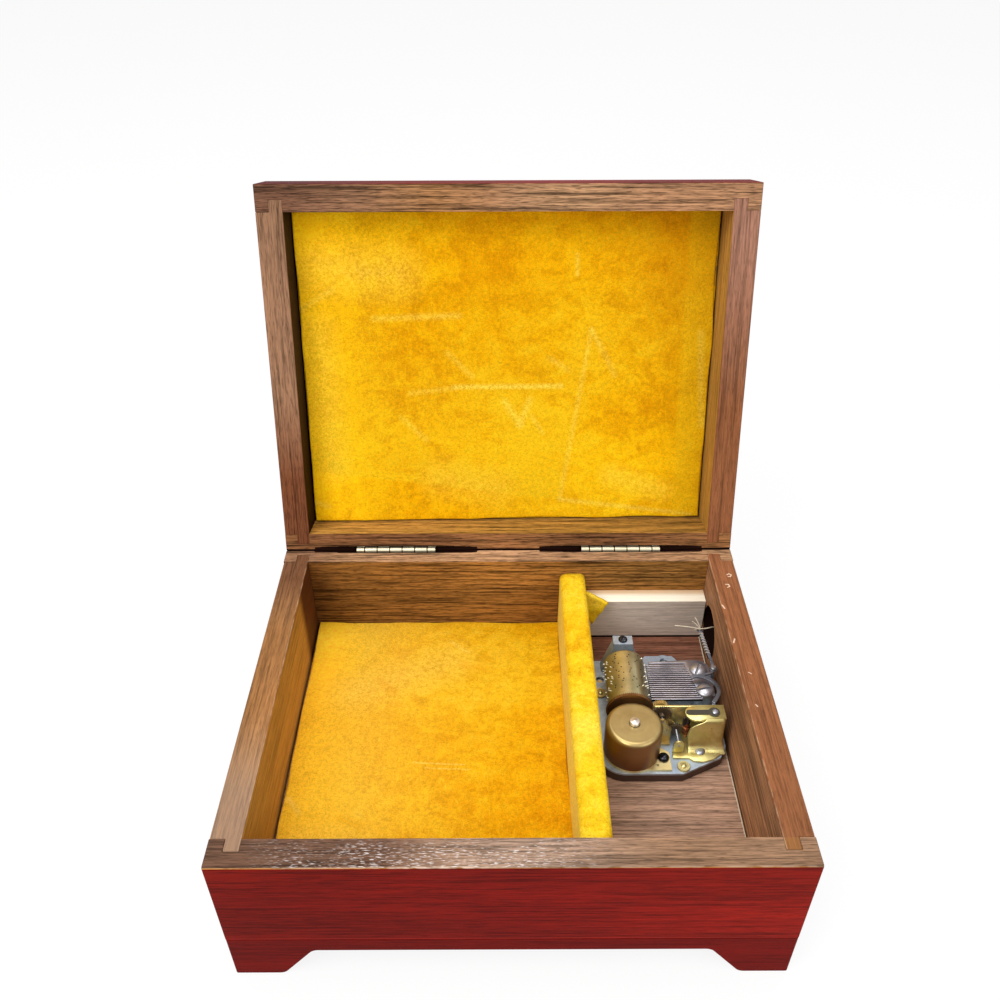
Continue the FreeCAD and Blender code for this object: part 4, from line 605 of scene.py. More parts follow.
def turned_brass():
    """Brass of the drum, spun about its axis: fine rings on its flat end, a warmer tone down its side."""
    paint = Paint("drum_brass")
    moved = paint.stretch(1, -MOVEMENT)
    radius = paint.length(paint.axis("X", moved), paint.axis("Y", moved))
    line = paint.add("ShaderNodeCombineXYZ", _0=radius, _2=paint.axis("Z", moved)).outputs[0]
    rings = paint.add("ShaderNodeTexNoise", Vector=line, Scale=1500.0, Detail=2.0, Roughness=0.6).outputs[0]
    patches = paint.noise(120, 0, 3.0, 0.6)
    body = paint.covered(colour(172, 150, 98), paint.ramp(patches, (0.35, 0.0), (0.65, 0.7)), (138, 112, 68))
    top = drum_high.z / MM
    body = paint.covered(body, paint.slope("Z", top - 0.5, top - 1.4), (156, 118, 76))
    body = paint.tinted(body, paint.slope("Z", top - 5, top - 12), (190, 168, 150))
    body = paint.shaded(body, 0.2, rings, (0.3, 0.65), (0.6, 1.0))
    roughness = paint.math("MULTIPLY_ADD", patches, 0.16, 0.28)
    paint.set(Base_Color=body, Metallic=0.8, Roughness=roughness, Normal=paint.bump(rings, 0.01, 0.00002))
    return paint.material


def plain(name, tone, rough, seed=0.0):
    """Even material with a faint mottle, for plastic, card and thread."""
    paint = Paint(name)
    mottle = paint.noise(900, seed, 3.0, 0.6)
    body = paint.shaded(colour(*tone), 0.35, mottle, (0.3, 0.6), (0.65, 1.0))
    paint.set(Base_Color=body, Roughness=rough, Normal=paint.bump(mottle, 0.2, 0.0001))
    return paint.material


# Light, floor and camera

def build_camera():
    """Camera at the place and angle that fit the photograph's corners."""
    pitch = math.radians(37.35)
    roll = math.radians(-0.21)
    place = Vector((-2.80, -192.39, 265.07)) * MM
    forward = Vector((0, math.cos(pitch), -math.sin(pitch)))
    right = Vector((1, 0, 0))
    upward = right.cross(forward)
    across = right * math.cos(roll) + upward * math.sin(roll)
    rise = upward * math.cos(roll) - right * math.sin(roll)
    turn = Matrix((across, rise, -forward)).transposed().to_4x4()
    data = bpy.data.cameras.new("camera")
    data.sensor_width = 36
    data.lens = 34.35
    data.clip_start = 0.01
    camera = bpy.data.objects.new("camera", data)
    camera.matrix_world = Matrix.Translation(place) @ turn
    bpy.context.collection.objects.link(camera)
    bpy.context.scene.camera = camera


def soft_light(name, place, size, power, tint=(1, 1, 1)):
    """Square lamp that looks at the middle of the box."""
    data = bpy.data.lights.new(name, "AREA")
    data.shape = "SQUARE"
    data.size = size
    data.energy = power
    data.color = tint
    lamp = bpy.data.objects.new(name, data)
    lamp.location = place
    lamp.rotation_euler = (Vector((0, 0, 0.05)) - Vector(place)).to_track_quat("-Z", "Y").to_euler()
    bpy.context.collection.objects.link(lamp)


def seen_directly(tree):
    """1 for what the camera, a mirror or glass sees, 0 for light that falls on things."""
    path = tree.nodes.new("ShaderNodeLightPath")
    total = path.outputs["Is Camera Ray"]
    for name in ("Is Glossy Ray", "Is Transmission Ray"):
        node = tree.nodes.new("ShaderNodeMath")
        node.operation = "MAXIMUM"
        tree.links.new(total, node.inputs[0])
        tree.links.new(path.outputs[name], node.inputs[1])
        total = node.outputs[0]
    return total


def build_studio():
    """White world, a pale floor that fades into it, and three soft lamps."""
    world = bpy.data.worlds.new("studio")
    bpy.context.scene.world = world
    world.use_nodes = True
    tree = world.node_tree
    strength = tree.nodes.new("ShaderNodeMapRange")
    tree.links.new(seen_directly(tree), strength.inputs["Value"])
    strength.inputs["To Min"].default_value = 0.55
    strength.inputs["To Max"].default_value = 1.0
    sky = tree.nodes["Background"]
    sky.inputs["Color"].default_value = (1, 1, 1, 1)
    tree.links.new(strength.outputs[0], sky.inputs["Strength"])

    paint = Paint("studio_floor")
    paint.set(Base_Color=(0.9, 0.9, 0.9, 1), Roughness=0.9)
    glow = paint.add("ShaderNodeEmission", Strength=1.0).outputs[0]
    share = paint.times(seen_directly(paint.tree), 0.86)
    blend = paint.add("ShaderNodeMixShader", _0=share, _1=paint.skin.outputs[0], _2=glow)
    paint.feed(paint.tree.nodes["Material Output"].inputs["Surface"], blend.outputs[0])
    bm = bmesh.new()
    bmesh.ops.create_grid(bm, x_segments=2, y_segments=2, size=12.0)
    mesh_object("studio_floor", bm, paint.material)

    soft_light("key_light", (-0.55, -0.45, 0.95), 0.7, 9.0, (1.0, 0.98, 0.95))
    soft_light("fill_light", (0.7, -0.6, 0.7), 0.8, 4.5, (0.96, 0.98, 1.0))
    soft_light("top_light", (0.0, 0.25, 1.1), 0.6, 4.5)
    bpy.context.scene.view_settings.view_transform = "Standard"


# Modelling helpers

def mesh_object(name, bm, material=None, smooth=None, fix_normals=True):
    """Finished bmesh as an object that sits at the origin. Edges over the smooth angle stay sharp."""
    if fix_normals:
        bmesh.ops.recalc_face_normals(bm, faces=bm.faces)
    data = bpy.data.meshes.new(name)
    bm.to_mesh(data)
    bm.free()
    thing = bpy.data.objects.new(name, data)
    bpy.context.collection.objects.link(thing)
    if smooth is not None:
        for polygon in data.polygons:
            polygon.use_smooth = True
        data.set_sharp_from_angle(angle=math.radians(smooth))
    if material is not None:
        data.materials.append(material)
    return thing


def settle(thing, body, slot, *replaced):
    """Give a piece its body, and hide the nodes that it stands for. The slot argument is not used."""
    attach(thing, body)
    if replaced:
        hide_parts(*replaced)
    return thing


def refined(material, *names, width=0.0, least=35):
    """CAD nodes again, with their sharp edges rounded over and their round faces smooth."""
    for name in names:
        bm = bmesh.new()
        bm.from_mesh(nodes[name].data)
        bmesh.ops.remove_doubles(bm, verts=bm.verts, dist=0.002 * MM)
        bmesh.ops.dissolve_limit(bm, angle_limit=math.radians(0.5), verts=bm.verts, edges=bm.edges)
        if width:
            eased(bm, width, least)
        thing = mesh_object(name + "_finished", bm, material, 50 if width else 38, False)
        thing.modifiers.new("even_shading", "WEIGHTED_NORMAL").keep_sharp = True
        settle(thing, body_of[name], slot_of[name], name)


def eased(bm, width, least=40):
    """Round the edges that are sharper than an angle in degrees."""
    edges = [edge for edge in bm.edges
             if edge.is_manifold and edge.calc_face_angle(0.0) > math.radians(least)]
    bmesh.ops.bevel(bm, geom=edges, offset=width * MM, offset_type="OFFSET", segments=2, profile=0.5,
                    affect="EDGES", material=-1, clamp_overlap=True)


def grown_edges(made):
    """The edges among what an operator made."""
    return [item for item in made["geom"] if isinstance(item, bmesh.types.BMEdge)]


def grown_verts(made):
    """The vertices among what an operator made."""
    return [item for item in made["geom"] if isinstance(item, bmesh.types.BMVert)]


def facing(bm, face, direction):
    """Turn a single sheet's faces so that the one named looks along a direction."""
    bmesh.ops.recalc_face_normals(bm, faces=bm.faces)
    if face.normal.dot(Vector(direction)) < 0:
        bmesh.ops.reverse_faces(bm, faces=bm.faces)


def thickened(thing, thickness, offset):
    """Give a single sheet its thickness in millimetres. An offset of -1 is inwards, 0 to both sides."""
    wall = thing.modifiers.new("sheet_thickness", "SOLIDIFY")
    wall.thickness = thickness * MM
    wall.offset = offset


def join(bm, part, place):
    """Move a finished part to its place and add it to a piece."""
    bmesh.ops.translate(part, verts=part.verts, vec=place)
    data = bpy.data.meshes.new("part")
    part.to_mesh(data)
    part.free()
    bm.from_mesh(data)
    bpy.data.meshes.remove(data)


def skin(bm, rows):
    """Faces between rows of vertices of equal length."""
    faces = []
    for above, below in zip(rows, rows[1:]):
        for corners in zip(above, above[1:], below[1:], below):
            faces.append(bm.faces.new(corners))
    return faces


def ring_profile(bm, points, steps=48, about="Z"):
    """Spin a profile of (radius, height) points in millimetres about an axis through the origin."""
    verts = []
    for radius, height in points:
        place = (radius, 0, height) if about == "Z" else (radius, height, 0)
        verts.append(bm.verts.new(Vector(place) * MM))
    edges = [bm.edges.new(pair) for pair in zip(verts, verts[1:])]
    axis = (0, 0, 1) if about == "Z" else (0, 1, 0)
    bmesh.ops.spin(bm, geom=verts + edges, cent=(0, 0, 0), axis=axis, angle=math.tau, steps=steps,
                   use_merge=True)
    bmesh.ops.remove_doubles(bm, verts=bm.verts, dist=0.001 * MM)


def arc_points(centre, radius, start, end, steps):
    """Points of an arc in a profile, from one angle to another in degrees."""
    found = []
    for step in range(steps + 1):
        angle = math.radians(start + (end - start) * step / steps)
        found.append((centre[0] + radius * math.cos(angle), centre[1] + radius * math.sin(angle)))
    return found


def smooth_path(points, parts=6):
    """Points of a smooth curve through the given ones."""
    ends = [points[0]] + list(points) + [points[-1]]
    found = []
    for four in zip(ends, ends[1:], ends[2:], ends[3:]):
        for step in range(parts):
            t = step / parts
            found.append(tuple(0.5 * (2 * q + (r - p) * t + (2 * p - 5 * q + 4 * r - s) * t * t
                                      + (3 * q - p - 3 * r + s) * t * t * t) for p, q, r, s in zip(*four)))
    found.append(points[-1])
    return found


def velvet_slab(name, width, length, thick, place, wander, lift, seed, material):
    """Velvet drawn over card: a finely divided face that rolls over its edges."""
    # Without a seed of its own, noise_vector takes its offsets from the clock.
    noise.seed_set(seed)
    cell = 1.2 * MM
    roll = 0.5 * MM
    tiny = 1e-6
    half_x = width / 2 - roll
    half_y = length / 2 - roll
    bm = bmesh.new()
    bmesh.ops.create_grid(bm, x_segments=int(width / cell), y_segments=int(length / cell), size=0.5)
    bmesh.ops.scale(bm, verts=bm.verts, vec=(2 * half_x, 2 * half_y, 1))
    steps = 4
    edges = [edge for edge in bm.edges if edge.is_boundary]
    for step in range(1, steps + 2):
        edges = grown_edges(bmesh.ops.extrude_edge_only(bm, edges=edges))
        low = math.pi / 2 * (step - 1) / steps
        high = math.pi / 2 * min(step, steps) / steps
        out = roll * (math.sin(high) - math.sin(low))
        down = roll * (math.cos(low) - math.cos(high)) if step <= steps else thick - roll
        for vert in {vert for edge in edges for vert in edge.verts}:
            side_x = math.copysign(1, vert.co.x) if abs(vert.co.x) >= half_x - tiny else 0
            side_y = math.copysign(1, vert.co.y) if abs(vert.co.y) >= half_y - tiny else 0
            vert.co += Vector((side_x * out, side_y * out, -down))
    bmesh.ops.holes_fill(bm, edges=[edge for edge in bm.edges if edge.is_boundary])
    border = 0.06
    for vert in bm.verts:
        if vert.co.z < -thick + tiny:
            continue
        near = Vector((vert.co.x, vert.co.y, seed)) / MM
        rise = noise.noise(near / 23) + noise.noise(near / 5) * 0.35 + noise.noise(near / 1.3) * 0.15
        aside = noise.noise_vector(near / 14) * wander
        edge_x = min(1.0, max(0.0, abs(vert.co.x) / half_x - 1 + border) / border)
        edge_y = min(1.0, max(0.0, abs(vert.co.y) / half_y - 1 + border) / border)
        vert.co += Vector((aside.x * edge_x, aside.y * edge_y, (rise - 0.6) * lift))
    bmesh.ops.transform(bm, matrix=place, verts=bm.verts)
    return mesh_object(name, bm, material, 60)


# The case and lid in wood

def finish_wood():
    """Every board of the case and lid in its own wood."""
    back = shades(158, 110, 55)
    gold = shades(170, 120, 56)
    left = shades(180, 131, 60, 0.08)
    right = shades(168, 122, 88)
    boards = (("front_board", "X", back, shades(150, 116, 90), RED, 1.0, 0.8, front_wear_and_light, "case_front"),
              ("back_board", "X", back, shades(168, 128, 94), RED, 2.0, 1.3, slotted_back, "case_back"),
              ("left_board", "Y", left, shades(156, 118, 84, 0.12), RED, 3.0, 0.5, left_rim, "case_left"),
              ("right_board", "Y", right, shades(136, 87, 57, 0.08), RED, 4.0, 0.5, right_wall, "case_right"))
    for name, along, tones, rim, stain, seed, contrast, extra, node in boards:
        refined(wood(name, along, tones, rim, stain, seed, contrast, False, extra), node, width=0.35)
    low = shades(172, 128, 62)
    # Painted shade: the left lid rail's inner faces nearly black, for the shade between the rail and the velvet.
    dark = shades(54, 36, 22)
    pale = shades(180, 136, 66, 0.1)
    rails = (("lid_upper", "X", gold, shades(162, 120, 88), 7.0, 1.2, upper_lid, "lid_front_rail"),
             ("lid_lower", "X", low, shades(128, 86, 55), 7.5, 1.3, lower_lid, "lid_back_rail"),
             ("lid_left", "Y", dark, shades(141, 105, 80, 0.1), 8.0, 0.8, lid_left, "lid_left_rail"),
             ("lid_right", "Y", pale, shades(134, 84, 54, 0.1), 8.5, 0.6, lid_right, "lid_right_rail"))
    for name, along, tones, rim, seed, contrast, extra, node in rails:
        refined(wood(name, along, tones, rim, LID_RED, seed, contrast, True, extra), node, width=0.35)
    plinth = wood("plinth_long", "X", DARK_RED, seed=5.0, contrast=0.4)
    refined(plinth, "plinth_front", "plinth_back", width=0.25)
    plinth = wood("plinth_short", "Y", DARK_RED, seed=6.0, contrast=0.4)
    refined(plinth, "plinth_left", "plinth_right", width=0.25)
    refined(wood("lid_top", "X", RED, seed=9.0, contrast=0.3, on_lid=True), "lid_panel", width=0.15)
    bare = shades(170, 136, 114, 0.14)
    floor = wood("floor_bare", "X", bare, seed=10.0, contrast=0.8, extra=sawn_floor)
    refined(floor, "floor_board", width=0.1)
    refined(wood("divider_bare", "Y", bare, seed=11.0), "divider_board", width=0.2)
    grey = shades(208, 192, 178, 0.06)
    support = wood("support_bare", "X", grey, seed=12.0, contrast=0.3, extra=raw_top)
    refined(support, "support_board", width=0.15)
    refined(plain("lining_card", (150, 130, 100), 0.9), "floor_pad_card", "lid_liner_card")


# The velvet linings

def build_linings():
    """Velvet of the floor pad and the lid, then the divider's cover and its loose corner."""
    low, high = node_box("floor_pad_velvet")
    high.x = node_box("divider_velvet")[0].x + 0.1 * MM
    size = high - low
    centre = (low + high) / 2
    place = Matrix.Translation((centre.x, centre.y, high.z))
    gold = velvet("floor_velvet", FLOOR_GOLD, 3.0, 0.2, marks=PAD_MARKS, overlay=pad_tone_and_light)
    pad = velvet_slab("floor_velvet", size.x, size.y, size.z, place, 0.5 * MM, 0.35 * MM, 1, gold)
    settle(pad, "case", "velvet", "floor_pad_velvet")

    both_walls = 17.3 * MM
    wide = 2 * HALF_WIDTH - both_walls
    deep = 2 * HALF_DEPTH - both_walls
    rise = 3.5 * MM
    lean = Matrix.Rotation(-math.asin(rise / wide), 4, "Y")
    face = Matrix.Translation((0, 0, RIM + 12.55 * MM)) @ lean @ Matrix.Rotation(math.pi, 4, "X")
    gold = velvet("lid_velvet", LID_GOLD, 7.0, 0.12, True, lid_marks(), lid_pile_and_light)
    liner = velvet_slab("lid_velvet", wide, deep, 0.9 * MM, LID_SWING @ face, 0.7 * MM, 0.4 * MM, 2, gold)
    settle(liner, "lid", "velvet", "lid_liner_velvet")
    build_divider_cover()
    build_flap()


def build_divider_cover():
    """Velvet wrapped over the divider board, rounded over its top and tucked down at its rear end."""
    low, high = node_box("divider_velvet")
    round_top = 2.3 * MM
    shoulder = high.z - round_top
    profile = [(low.x, low.z)] + arc_points((low.x + round_top, shoulder), round_top, 180, 90, 5)
    profile += arc_points((high.x - round_top, shoulder), round_top, 90, 0, 5) + [(high.x, low.z)]
    bm = bmesh.new()
    verts = [bm.verts.new((x, low.y, z)) for x, z in profile]
    edges = [bm.edges.new(pair) for pair in zip(verts, verts[1:])]
    cells = 84
    step = (high.y - low.y) / cells
    for number in range(cells):
        grown = bmesh.ops.extrude_edge_only(bm, edges=edges)
        edges = [edge for edge in grown_edges(grown) if len(edge.link_faces) == 1
                 and abs(edge.verts[1].co.y - edge.verts[0].co.y) < 1e-7]
        bmesh.ops.translate(bm, verts=grown_verts(grown), vec=(0, step, 0))
    tall = [edge for edge in bm.edges if abs(edge.verts[0].co.z - edge.verts[1].co.z) > 5 * MM]
    bmesh.ops.subdivide_edges(bm, edges=tall, cuts=14, use_grid_fill=True)
    tuck = 2.4 * MM
    for vert in bm.verts:
        near = vert.co / MM
        lean = noise.noise(near / 16) * 0.22 + noise.noise(near / 4) * 0.08
        end = max(0.0, (vert.co.y - high.y + tuck) / tuck)
        if vert.co.z > high.z - 3 * MM:
            vert.co.z += (lean - 0.12) * MM - 0.4 * MM * end * end
        side = 1 if vert.co.x > (low.x + high.x) / 2 else -1
        vert.co.x -= side * (abs(lean) * 0.6) * MM
    bm.faces.ensure_lookup_table()
    facing(bm, max(bm.faces, key=lambda face: face.calc_center_median().z), (0, 0, 1))
    gold = velvet("divider_velvet", DIVIDER_GOLD, 5.0, 0.16, overlay=pale_side)
    cover = mesh_object("divider_cover", bm, gold, 60, False)
    thickened(cover, 0.75, -1)
    settle(cover, "case", "velvet", "divider_velvet")


def build_flap():
    """Loose corner of the divider's velvet, folded double behind its rear end."""
    low, high = node_box("velvet_flap")
    reach = 7.4
    outline = [(0, -7.4), (reach, -11.4), (2.7, -21.9), (0, -15.0)]
    bm = bmesh.new()
    middle_y = (low.y + high.y) / 2
    bm.faces.new([bm.verts.new((low.x + x * MM, middle_y, RIM + z * MM)) for x, z in outline])
    bmesh.ops.subdivide_edges(bm, edges=list(bm.edges), cuts=11, use_grid_fill=True)
    bmesh.ops.triangulate(bm, faces=list(bm.faces))
    for vert in bm.verts:
        near = vert.co / MM
        out = (vert.co.x - low.x) / (reach * MM)
        vert.co.y -= (0.5 + 1.6 * out * out) * MM
        vert.co.y += noise.noise(near / 3.5) * 0.5 * MM
        vert.co.x += noise.noise(near / 2.5) * 0.25 * MM
    flap = mesh_object("velvet_corner", bm, velvet("corner_velvet", DIVIDER_GOLD, 9.0), 60)
    thickened(flap, 1.3, 0)
    settle(flap, "case", "velvet", "velvet_flap")


# The movement

BRIGHT_BRASS = (226, 206, 148)
STEEL = (176, 176, 180)
DARK_STEEL = (112, 112, 118)


def dark_sides(paint, body):
    """Cast base: its sides in shadow below a bright upper edge."""
    return paint.covered(body, paint.under("Z", FLOOR_TOP + 3.0 * MM), (84, 70, 64))


def dark_slits(paint, body):
    """Comb: little light gets down between the teeth."""
    corner = spot(23.4, 0, 11.75)
    slits = paint.times(paint.under("Z", corner.z), paint.under("X", corner.x))
    return paint.covered(body, slits, (44, 42, 46))


def knuckle_seams(paint, body):
    """Dark seams between the hinges' knuckles."""
    part = paint.math("FRACT", paint.math("DIVIDE", beside_hinge(paint), KNUCKLE_PITCH))
    seam = paint.math("LESS_THAN", paint.size(paint.less(part, 0.5)), 0.045)
    return paint.covered(body, seam, (70, 58, 40))


def brown_patches(paint, body):
    """Bracket: brown patches on its yellow brass."""
    blotches = paint.noise(210, 4, 3.0, 0.6, 0.8)
    return paint.covered(body, paint.ramp(blotches, (0.52, 0.0), (0.7, 0.45)), (156, 104, 44))


def finish_movement():
    """The movement's metals, then the pieces that are modelled again."""
    refined(metal("plate_brass", BRIGHT_BRASS, (196, 172, 112), 0.3, 1.0), "drum_foot_plate", width=0.06)
    refined(metal("cup_bronze", (142, 102, 60), (84, 56, 32), 0.34, 3.0), "cylinder_gear")
    refined(metal("dark_wheel", (112, 96, 78), (70, 58, 46), 0.38, 4.0), "first_wheel", "worm_wheel")
    refined(metal("wheel_brass", (206, 182, 122), (150, 120, 70), 0.3, 6.0), "first_pinion", "middle_wheel",
            "great_wheel", "drive_pinion", "wheel_cock")
    refined(metal("cast_zinc", (178, 192, 208), (136, 148, 162), 0.42, 7.0, 0.7, 0.6, 0.2, shade=dark_sides),
            "base_casting", width=0.25)
    refined(metal("plain_steel", STEEL, DARK_STEEL, 0.32, 10.0), "cylinder_arbor", "winding_arbor",
            "first_arbor", "last_arbor", "lever_pivot", "mainspring")
    refined(metal("leaf_steel", (72, 68, 56), (52, 48, 38), 0.45, 16.0, share=0.45), "endstone_leaf",
            width=0.06)
    refined(metal("plated_key", (206, 206, 206), STEEL, 0.2, 9.0), "mounting_screws", "winding_key",
            width=0.1)
    refined(plain("fan_plastic", (50, 42, 36), 0.5, 13.0), "air_brake", width=0.03)
    hinge = metal("hinge_brass", (216, 208, 180), (182, 168, 128), 0.34, 15.0, shade=knuckle_seams)
    for side in ("left", "right"):
        refined(hinge, f"hinge_{side}_case_leaf", f"hinge_{side}_lid_leaf", width=0.14, least=25)
        refined(hinge, f"hinge_{side}_pin")
    build_drum()
    build_barrel()
    build_comb()
    build_bracket()
    build_screws()
    build_discs()
    build_worm()
    build_lever()
    build_thread()


def plate(bm, points, plane, low, high):
    """Flat piece cut to an outline in one plane of the movement, between two stations across it."""
    first, second, across = {"XY": (0, 1, 2), "XZ": (0, 2, 1)}[plane]
    verts = []
    for a, b in points:
        place = [0.0, 0.0, 0.0]
        place[first] = a
        place[second] = b
        place[across] = low
        verts.append(bm.verts.new(spot(*place)))
    grown = bmesh.ops.extrude_face_region(bm, geom=[bm.faces.new(verts)])
    step = Vector((0, 0, 0))
    step[across] = (high - low) * MM
    bmesh.ops.translate(bm, verts=grown_verts(grown), vec=step)


def build_drum():
    """Spring drum: its packed wall, a little fuller, under a pressed cap with a wide rounded edge."""
    brass = turned_brass()
    radius = 8.62
    top = (drum_high.z - MOVEMENT.z) / MM
    seam = top - 2.2
    fuller = radius * 2 * MM / (drum_high.x - drum_low.x)
    bm = bmesh.new()
    bm.from_mesh(nodes["spring_drum"].data)
    bmesh.ops.remove_doubles(bm, verts=bm.verts, dist=0.002 * MM)
    bmesh.ops.bisect_plane(bm, geom=bm.verts[:] + bm.edges[:] + bm.faces[:], plane_co=spot(0, 0, seam),
                           plane_no=(0, 0, 1), clear_outer=True)
    bmesh.ops.bridge_loops(bm, edges=[edge for edge in bm.edges if edge.is_boundary])
    bmesh.ops.scale(bm, verts=bm.verts, vec=(fuller, fuller, 1), space=Matrix.Translation(-MOVEMENT))
    settle(mesh_object("drum_wall", bm, brass, 38), "case", "drum_brass", "spring_drum")
    edge = 1.45
    hole = 1.75
    under = top - 0.55
    outline = [(hole, under), (hole, top), (radius - edge - 0.4, top), (radius - edge - 0.05, top)]
    outline += arc_points((radius - edge, top - edge), edge, 84, 0, 12)
    outline += [(radius, seam - 0.02), (radius - 0.5, seam - 0.02), (radius - 0.5, top - edge),
                (radius - edge, under), (hole, under)]
    spun("drum_cap", spot(0, 0, 0), outline, brass, "case", "drum_brass", steps=160)


def build_comb():
    """Comb: eighteen ground teeth, shorter towards the back, on one plate."""
    start = 13.1
    slit = 0.38
    tip = 7.2
    rear = start + COMB_TEETH * TRACK_PITCH
    points = [(27.6, 14.5), (23.6, 14.5), (23.4, start)]
    for number in range(COMB_TEETH):
        low = start + TRACK_PITCH * number + (slit / 2 if number else 0)
        high = start + TRACK_PITCH * (number + 1) - slit / 2
        root = 23.3 - 0.19 * (number + 1)
        points += [(tip, low), (tip, high), (root, high)]
        if number < COMB_TEETH - 1:
            points.append((root, high + slit))
    points += [(root, rear + 0.3), (8.15, rear + 0.3), (8.15, rear + 0.9), (22.0, rear + 1.8),
               (25.4, rear + 1.4), (27.6, rear - 0.6)]
    bm = bmesh.new()
    plate(bm, points, "XY", 10.9, 11.9)
    bmesh.ops.recalc_face_normals(bm, faces=bm.faces)
    eased(bm, 0.05)
    ground = metal("ground_steel", (164, 162, 172), (108, 106, 116), 0.32, 8.0, 0.7, 0.75, 0.15, "X",
                   dark_slits)
    settle(mesh_object("comb_plate", bm, ground, 30, False), "case", "comb_steel", "comb")


def between(stations, value):
    """Straight interpolation in a table of (station, result) rows in rising order."""
    for (a, first), (b, second) in zip(stations, stations[1:]):
        if value <= b:
            return first + (second - first) * (value - a) / (b - a)
    return stations[-1][1]


def build_bracket():
    """Governor bracket: rear wall, top tongue, foot and a bearing ear, with an apron in front."""
    bm = bmesh.new()
    plate(bm, [(7.2, 3.7), (28.5, 3.7), (28.5, 15.25), (7.2, 15.25)], "XZ", 7.25, 7.95)
    tongue = [(28.4, 7.6), (19.4, 7.6), (17.6, 7.2), (16.5, 6.2), (16.1, 5.0), (16.4, 3.6), (17.3, 2.5),
              (18.7, 1.8), (20.3, 1.65), (21.4, 2.0), (22.3, 2.5), (28.4, 2.5)]
    plate(bm, tongue, "XY", 14.6, 15.3)
    foot = [(16.0, 7.9), (16.0, -1.5), (12.4, -1.5), (12.4, -3.5), (17.2, -3.6), (18.6, -4.7), (21.5, -5.0),
            (24.4, -4.2), (26.6, -2.7), (28.2, -0.4), (28.5, 1.6), (28.5, 7.9)]
    plate(bm, foot, "XY", 3.7, 4.4)
    ear = [(12.5, 3.8), (15.7, 3.8), (15.7, 7.7)]
    ear += arc_points((14.1, 7.7), 1.6, 20, 160, 8) + [(12.5, 7.7)]
    plate(bm, ear, "XZ", -1.5, -0.9)
    bmesh.ops.recalc_face_normals(bm, faces=bm.faces)
    eased(bm, 0.1)
    yellow = metal("yellow_brass", (220, 208, 140), (184, 170, 100), 0.3, 5.0, 0.7, 0.7, shade=brown_patches)
    settle(mesh_object("bracket_plates", bm, yellow, 40, False), "case", "bright_brass", "governor_bracket")
    build_apron(yellow)


def build_apron(material):
    """Front apron of the bracket: it curves into the foot, and its right end turns back round the corner."""
    profile = smooth_path([(2.5, 15.2), (1.6, 14.4), (1.4, 11.8), (1.15, 8.6), (0.5, 6.0), (-0.6, 4.7),
                           (-2.2, 4.35)], 5)
    left_side = [(4.0, 16.4), (4.7, 17.2), (6.0, 17.4), (8.6, 16.9), (11.8, 17.6), (13.4, 19.4), (14.6, 21.6),
                 (15.3, 22.4)]
    corner = 27.5
    flat = 0.8
    columns = 18
    bm = bmesh.new()
    rows = []
    for y, z in profile:
        start = between(left_side, z)
        row = []
        for number in range(columns + 1):
            share = number / columns
            angle = max(0.0, share - flat) / (1 - flat) * math.pi / 2
            x = start + (corner - start) * min(share, flat) / flat + 0.95 * math.sin(angle)
            back = 2.4 * (1 - math.cos(angle)) * min(1.0, max(0.0, (z - 4.3) / 3))
            row.append(bm.verts.new(spot(x, y + back, z)))
        rows.append(row)
    facing(bm, skin(bm, rows)[5 * columns + 5], (0, -1, 0))
    apron = mesh_object("bracket_apron", bm, material, 60, False)
    thickened(apron, 0.55, -1)
    settle(apron, "case", "bright_brass")


def build_barrel():
    """Pinned cylinder: a thin tube with a rounded rear end, its note pins, and dark dots of painted shade in place
    of the pins on its top.
    """
    axis = spot(0, 0, BARREL_AXIS)
    radius = 6.55
    bore = radius - 0.6
    low = 10.6
    high = 29.3
    bm = bmesh.new()
    outline = [(bore, low), (radius - 0.1, low), (radius, low + 0.1), (radius, high - 1.0)]
    outline += arc_points((radius - 0.9, high - 0.9), 0.9, 8, 90, 6)
    outline += [(0.8, high), (0.8, high - 0.8), (bore, high - 0.8), (bore, low)]
    ring_profile(bm, outline, 84, "Y")
    bmesh.ops.translate(bm, verts=bm.verts, vec=axis)
    brass = metal("cylinder_brass", (196, 188, 146), (146, 138, 98), 0.32, 2.0, 0.7, 0.88)
    settle(mesh_object("barrel", bm, brass, 40), "cylinder", "cylinder_brass", "pinned_cylinder")
    pins = bmesh.new()
    shade_dots = bmesh.new()
    draws = random.Random(11)
    for track in range(COMB_TEETH):
        station = 13.515 + track * TRACK_PITCH
        for note in range(8):
            angle = 45 * note + draws.uniform(2, 43)
            # On the top, flat dark dots of painted shade stand in for the pins; elsewhere the pins are bright.
            on_top = abs((angle + 180) % 360 - 180) < 42
            bm, reach, tip, depth = (shade_dots, 0.02, 0.22, 0.1) if on_top else (pins, 0.18, 0.15, 0.4)
            turn = Matrix.Rotation(math.radians(angle), 4, "Y")
            place = turn @ Matrix.Translation(Vector((0, station, radius + reach)) * MM)
            bmesh.ops.create_cone(bm, cap_ends=True, segments=8, radius1=0.22 * MM, radius2=tip * MM,
                                  depth=depth * MM, matrix=place)
    steel = metal("pin_steel", (244, 238, 220), (214, 204, 176), 0.3, 22.0, 0.3, 0.4)
    for name, bm, material in (("note_pins", pins, steel),
                               ("pin_shade_dots", shade_dots, plain("root_shadow", (44, 36, 20), 0.6))):
        bmesh.ops.translate(bm, verts=bm.verts, vec=axis)
        settle(mesh_object(name, bm, material, 40), "cylinder", "cylinder_brass")


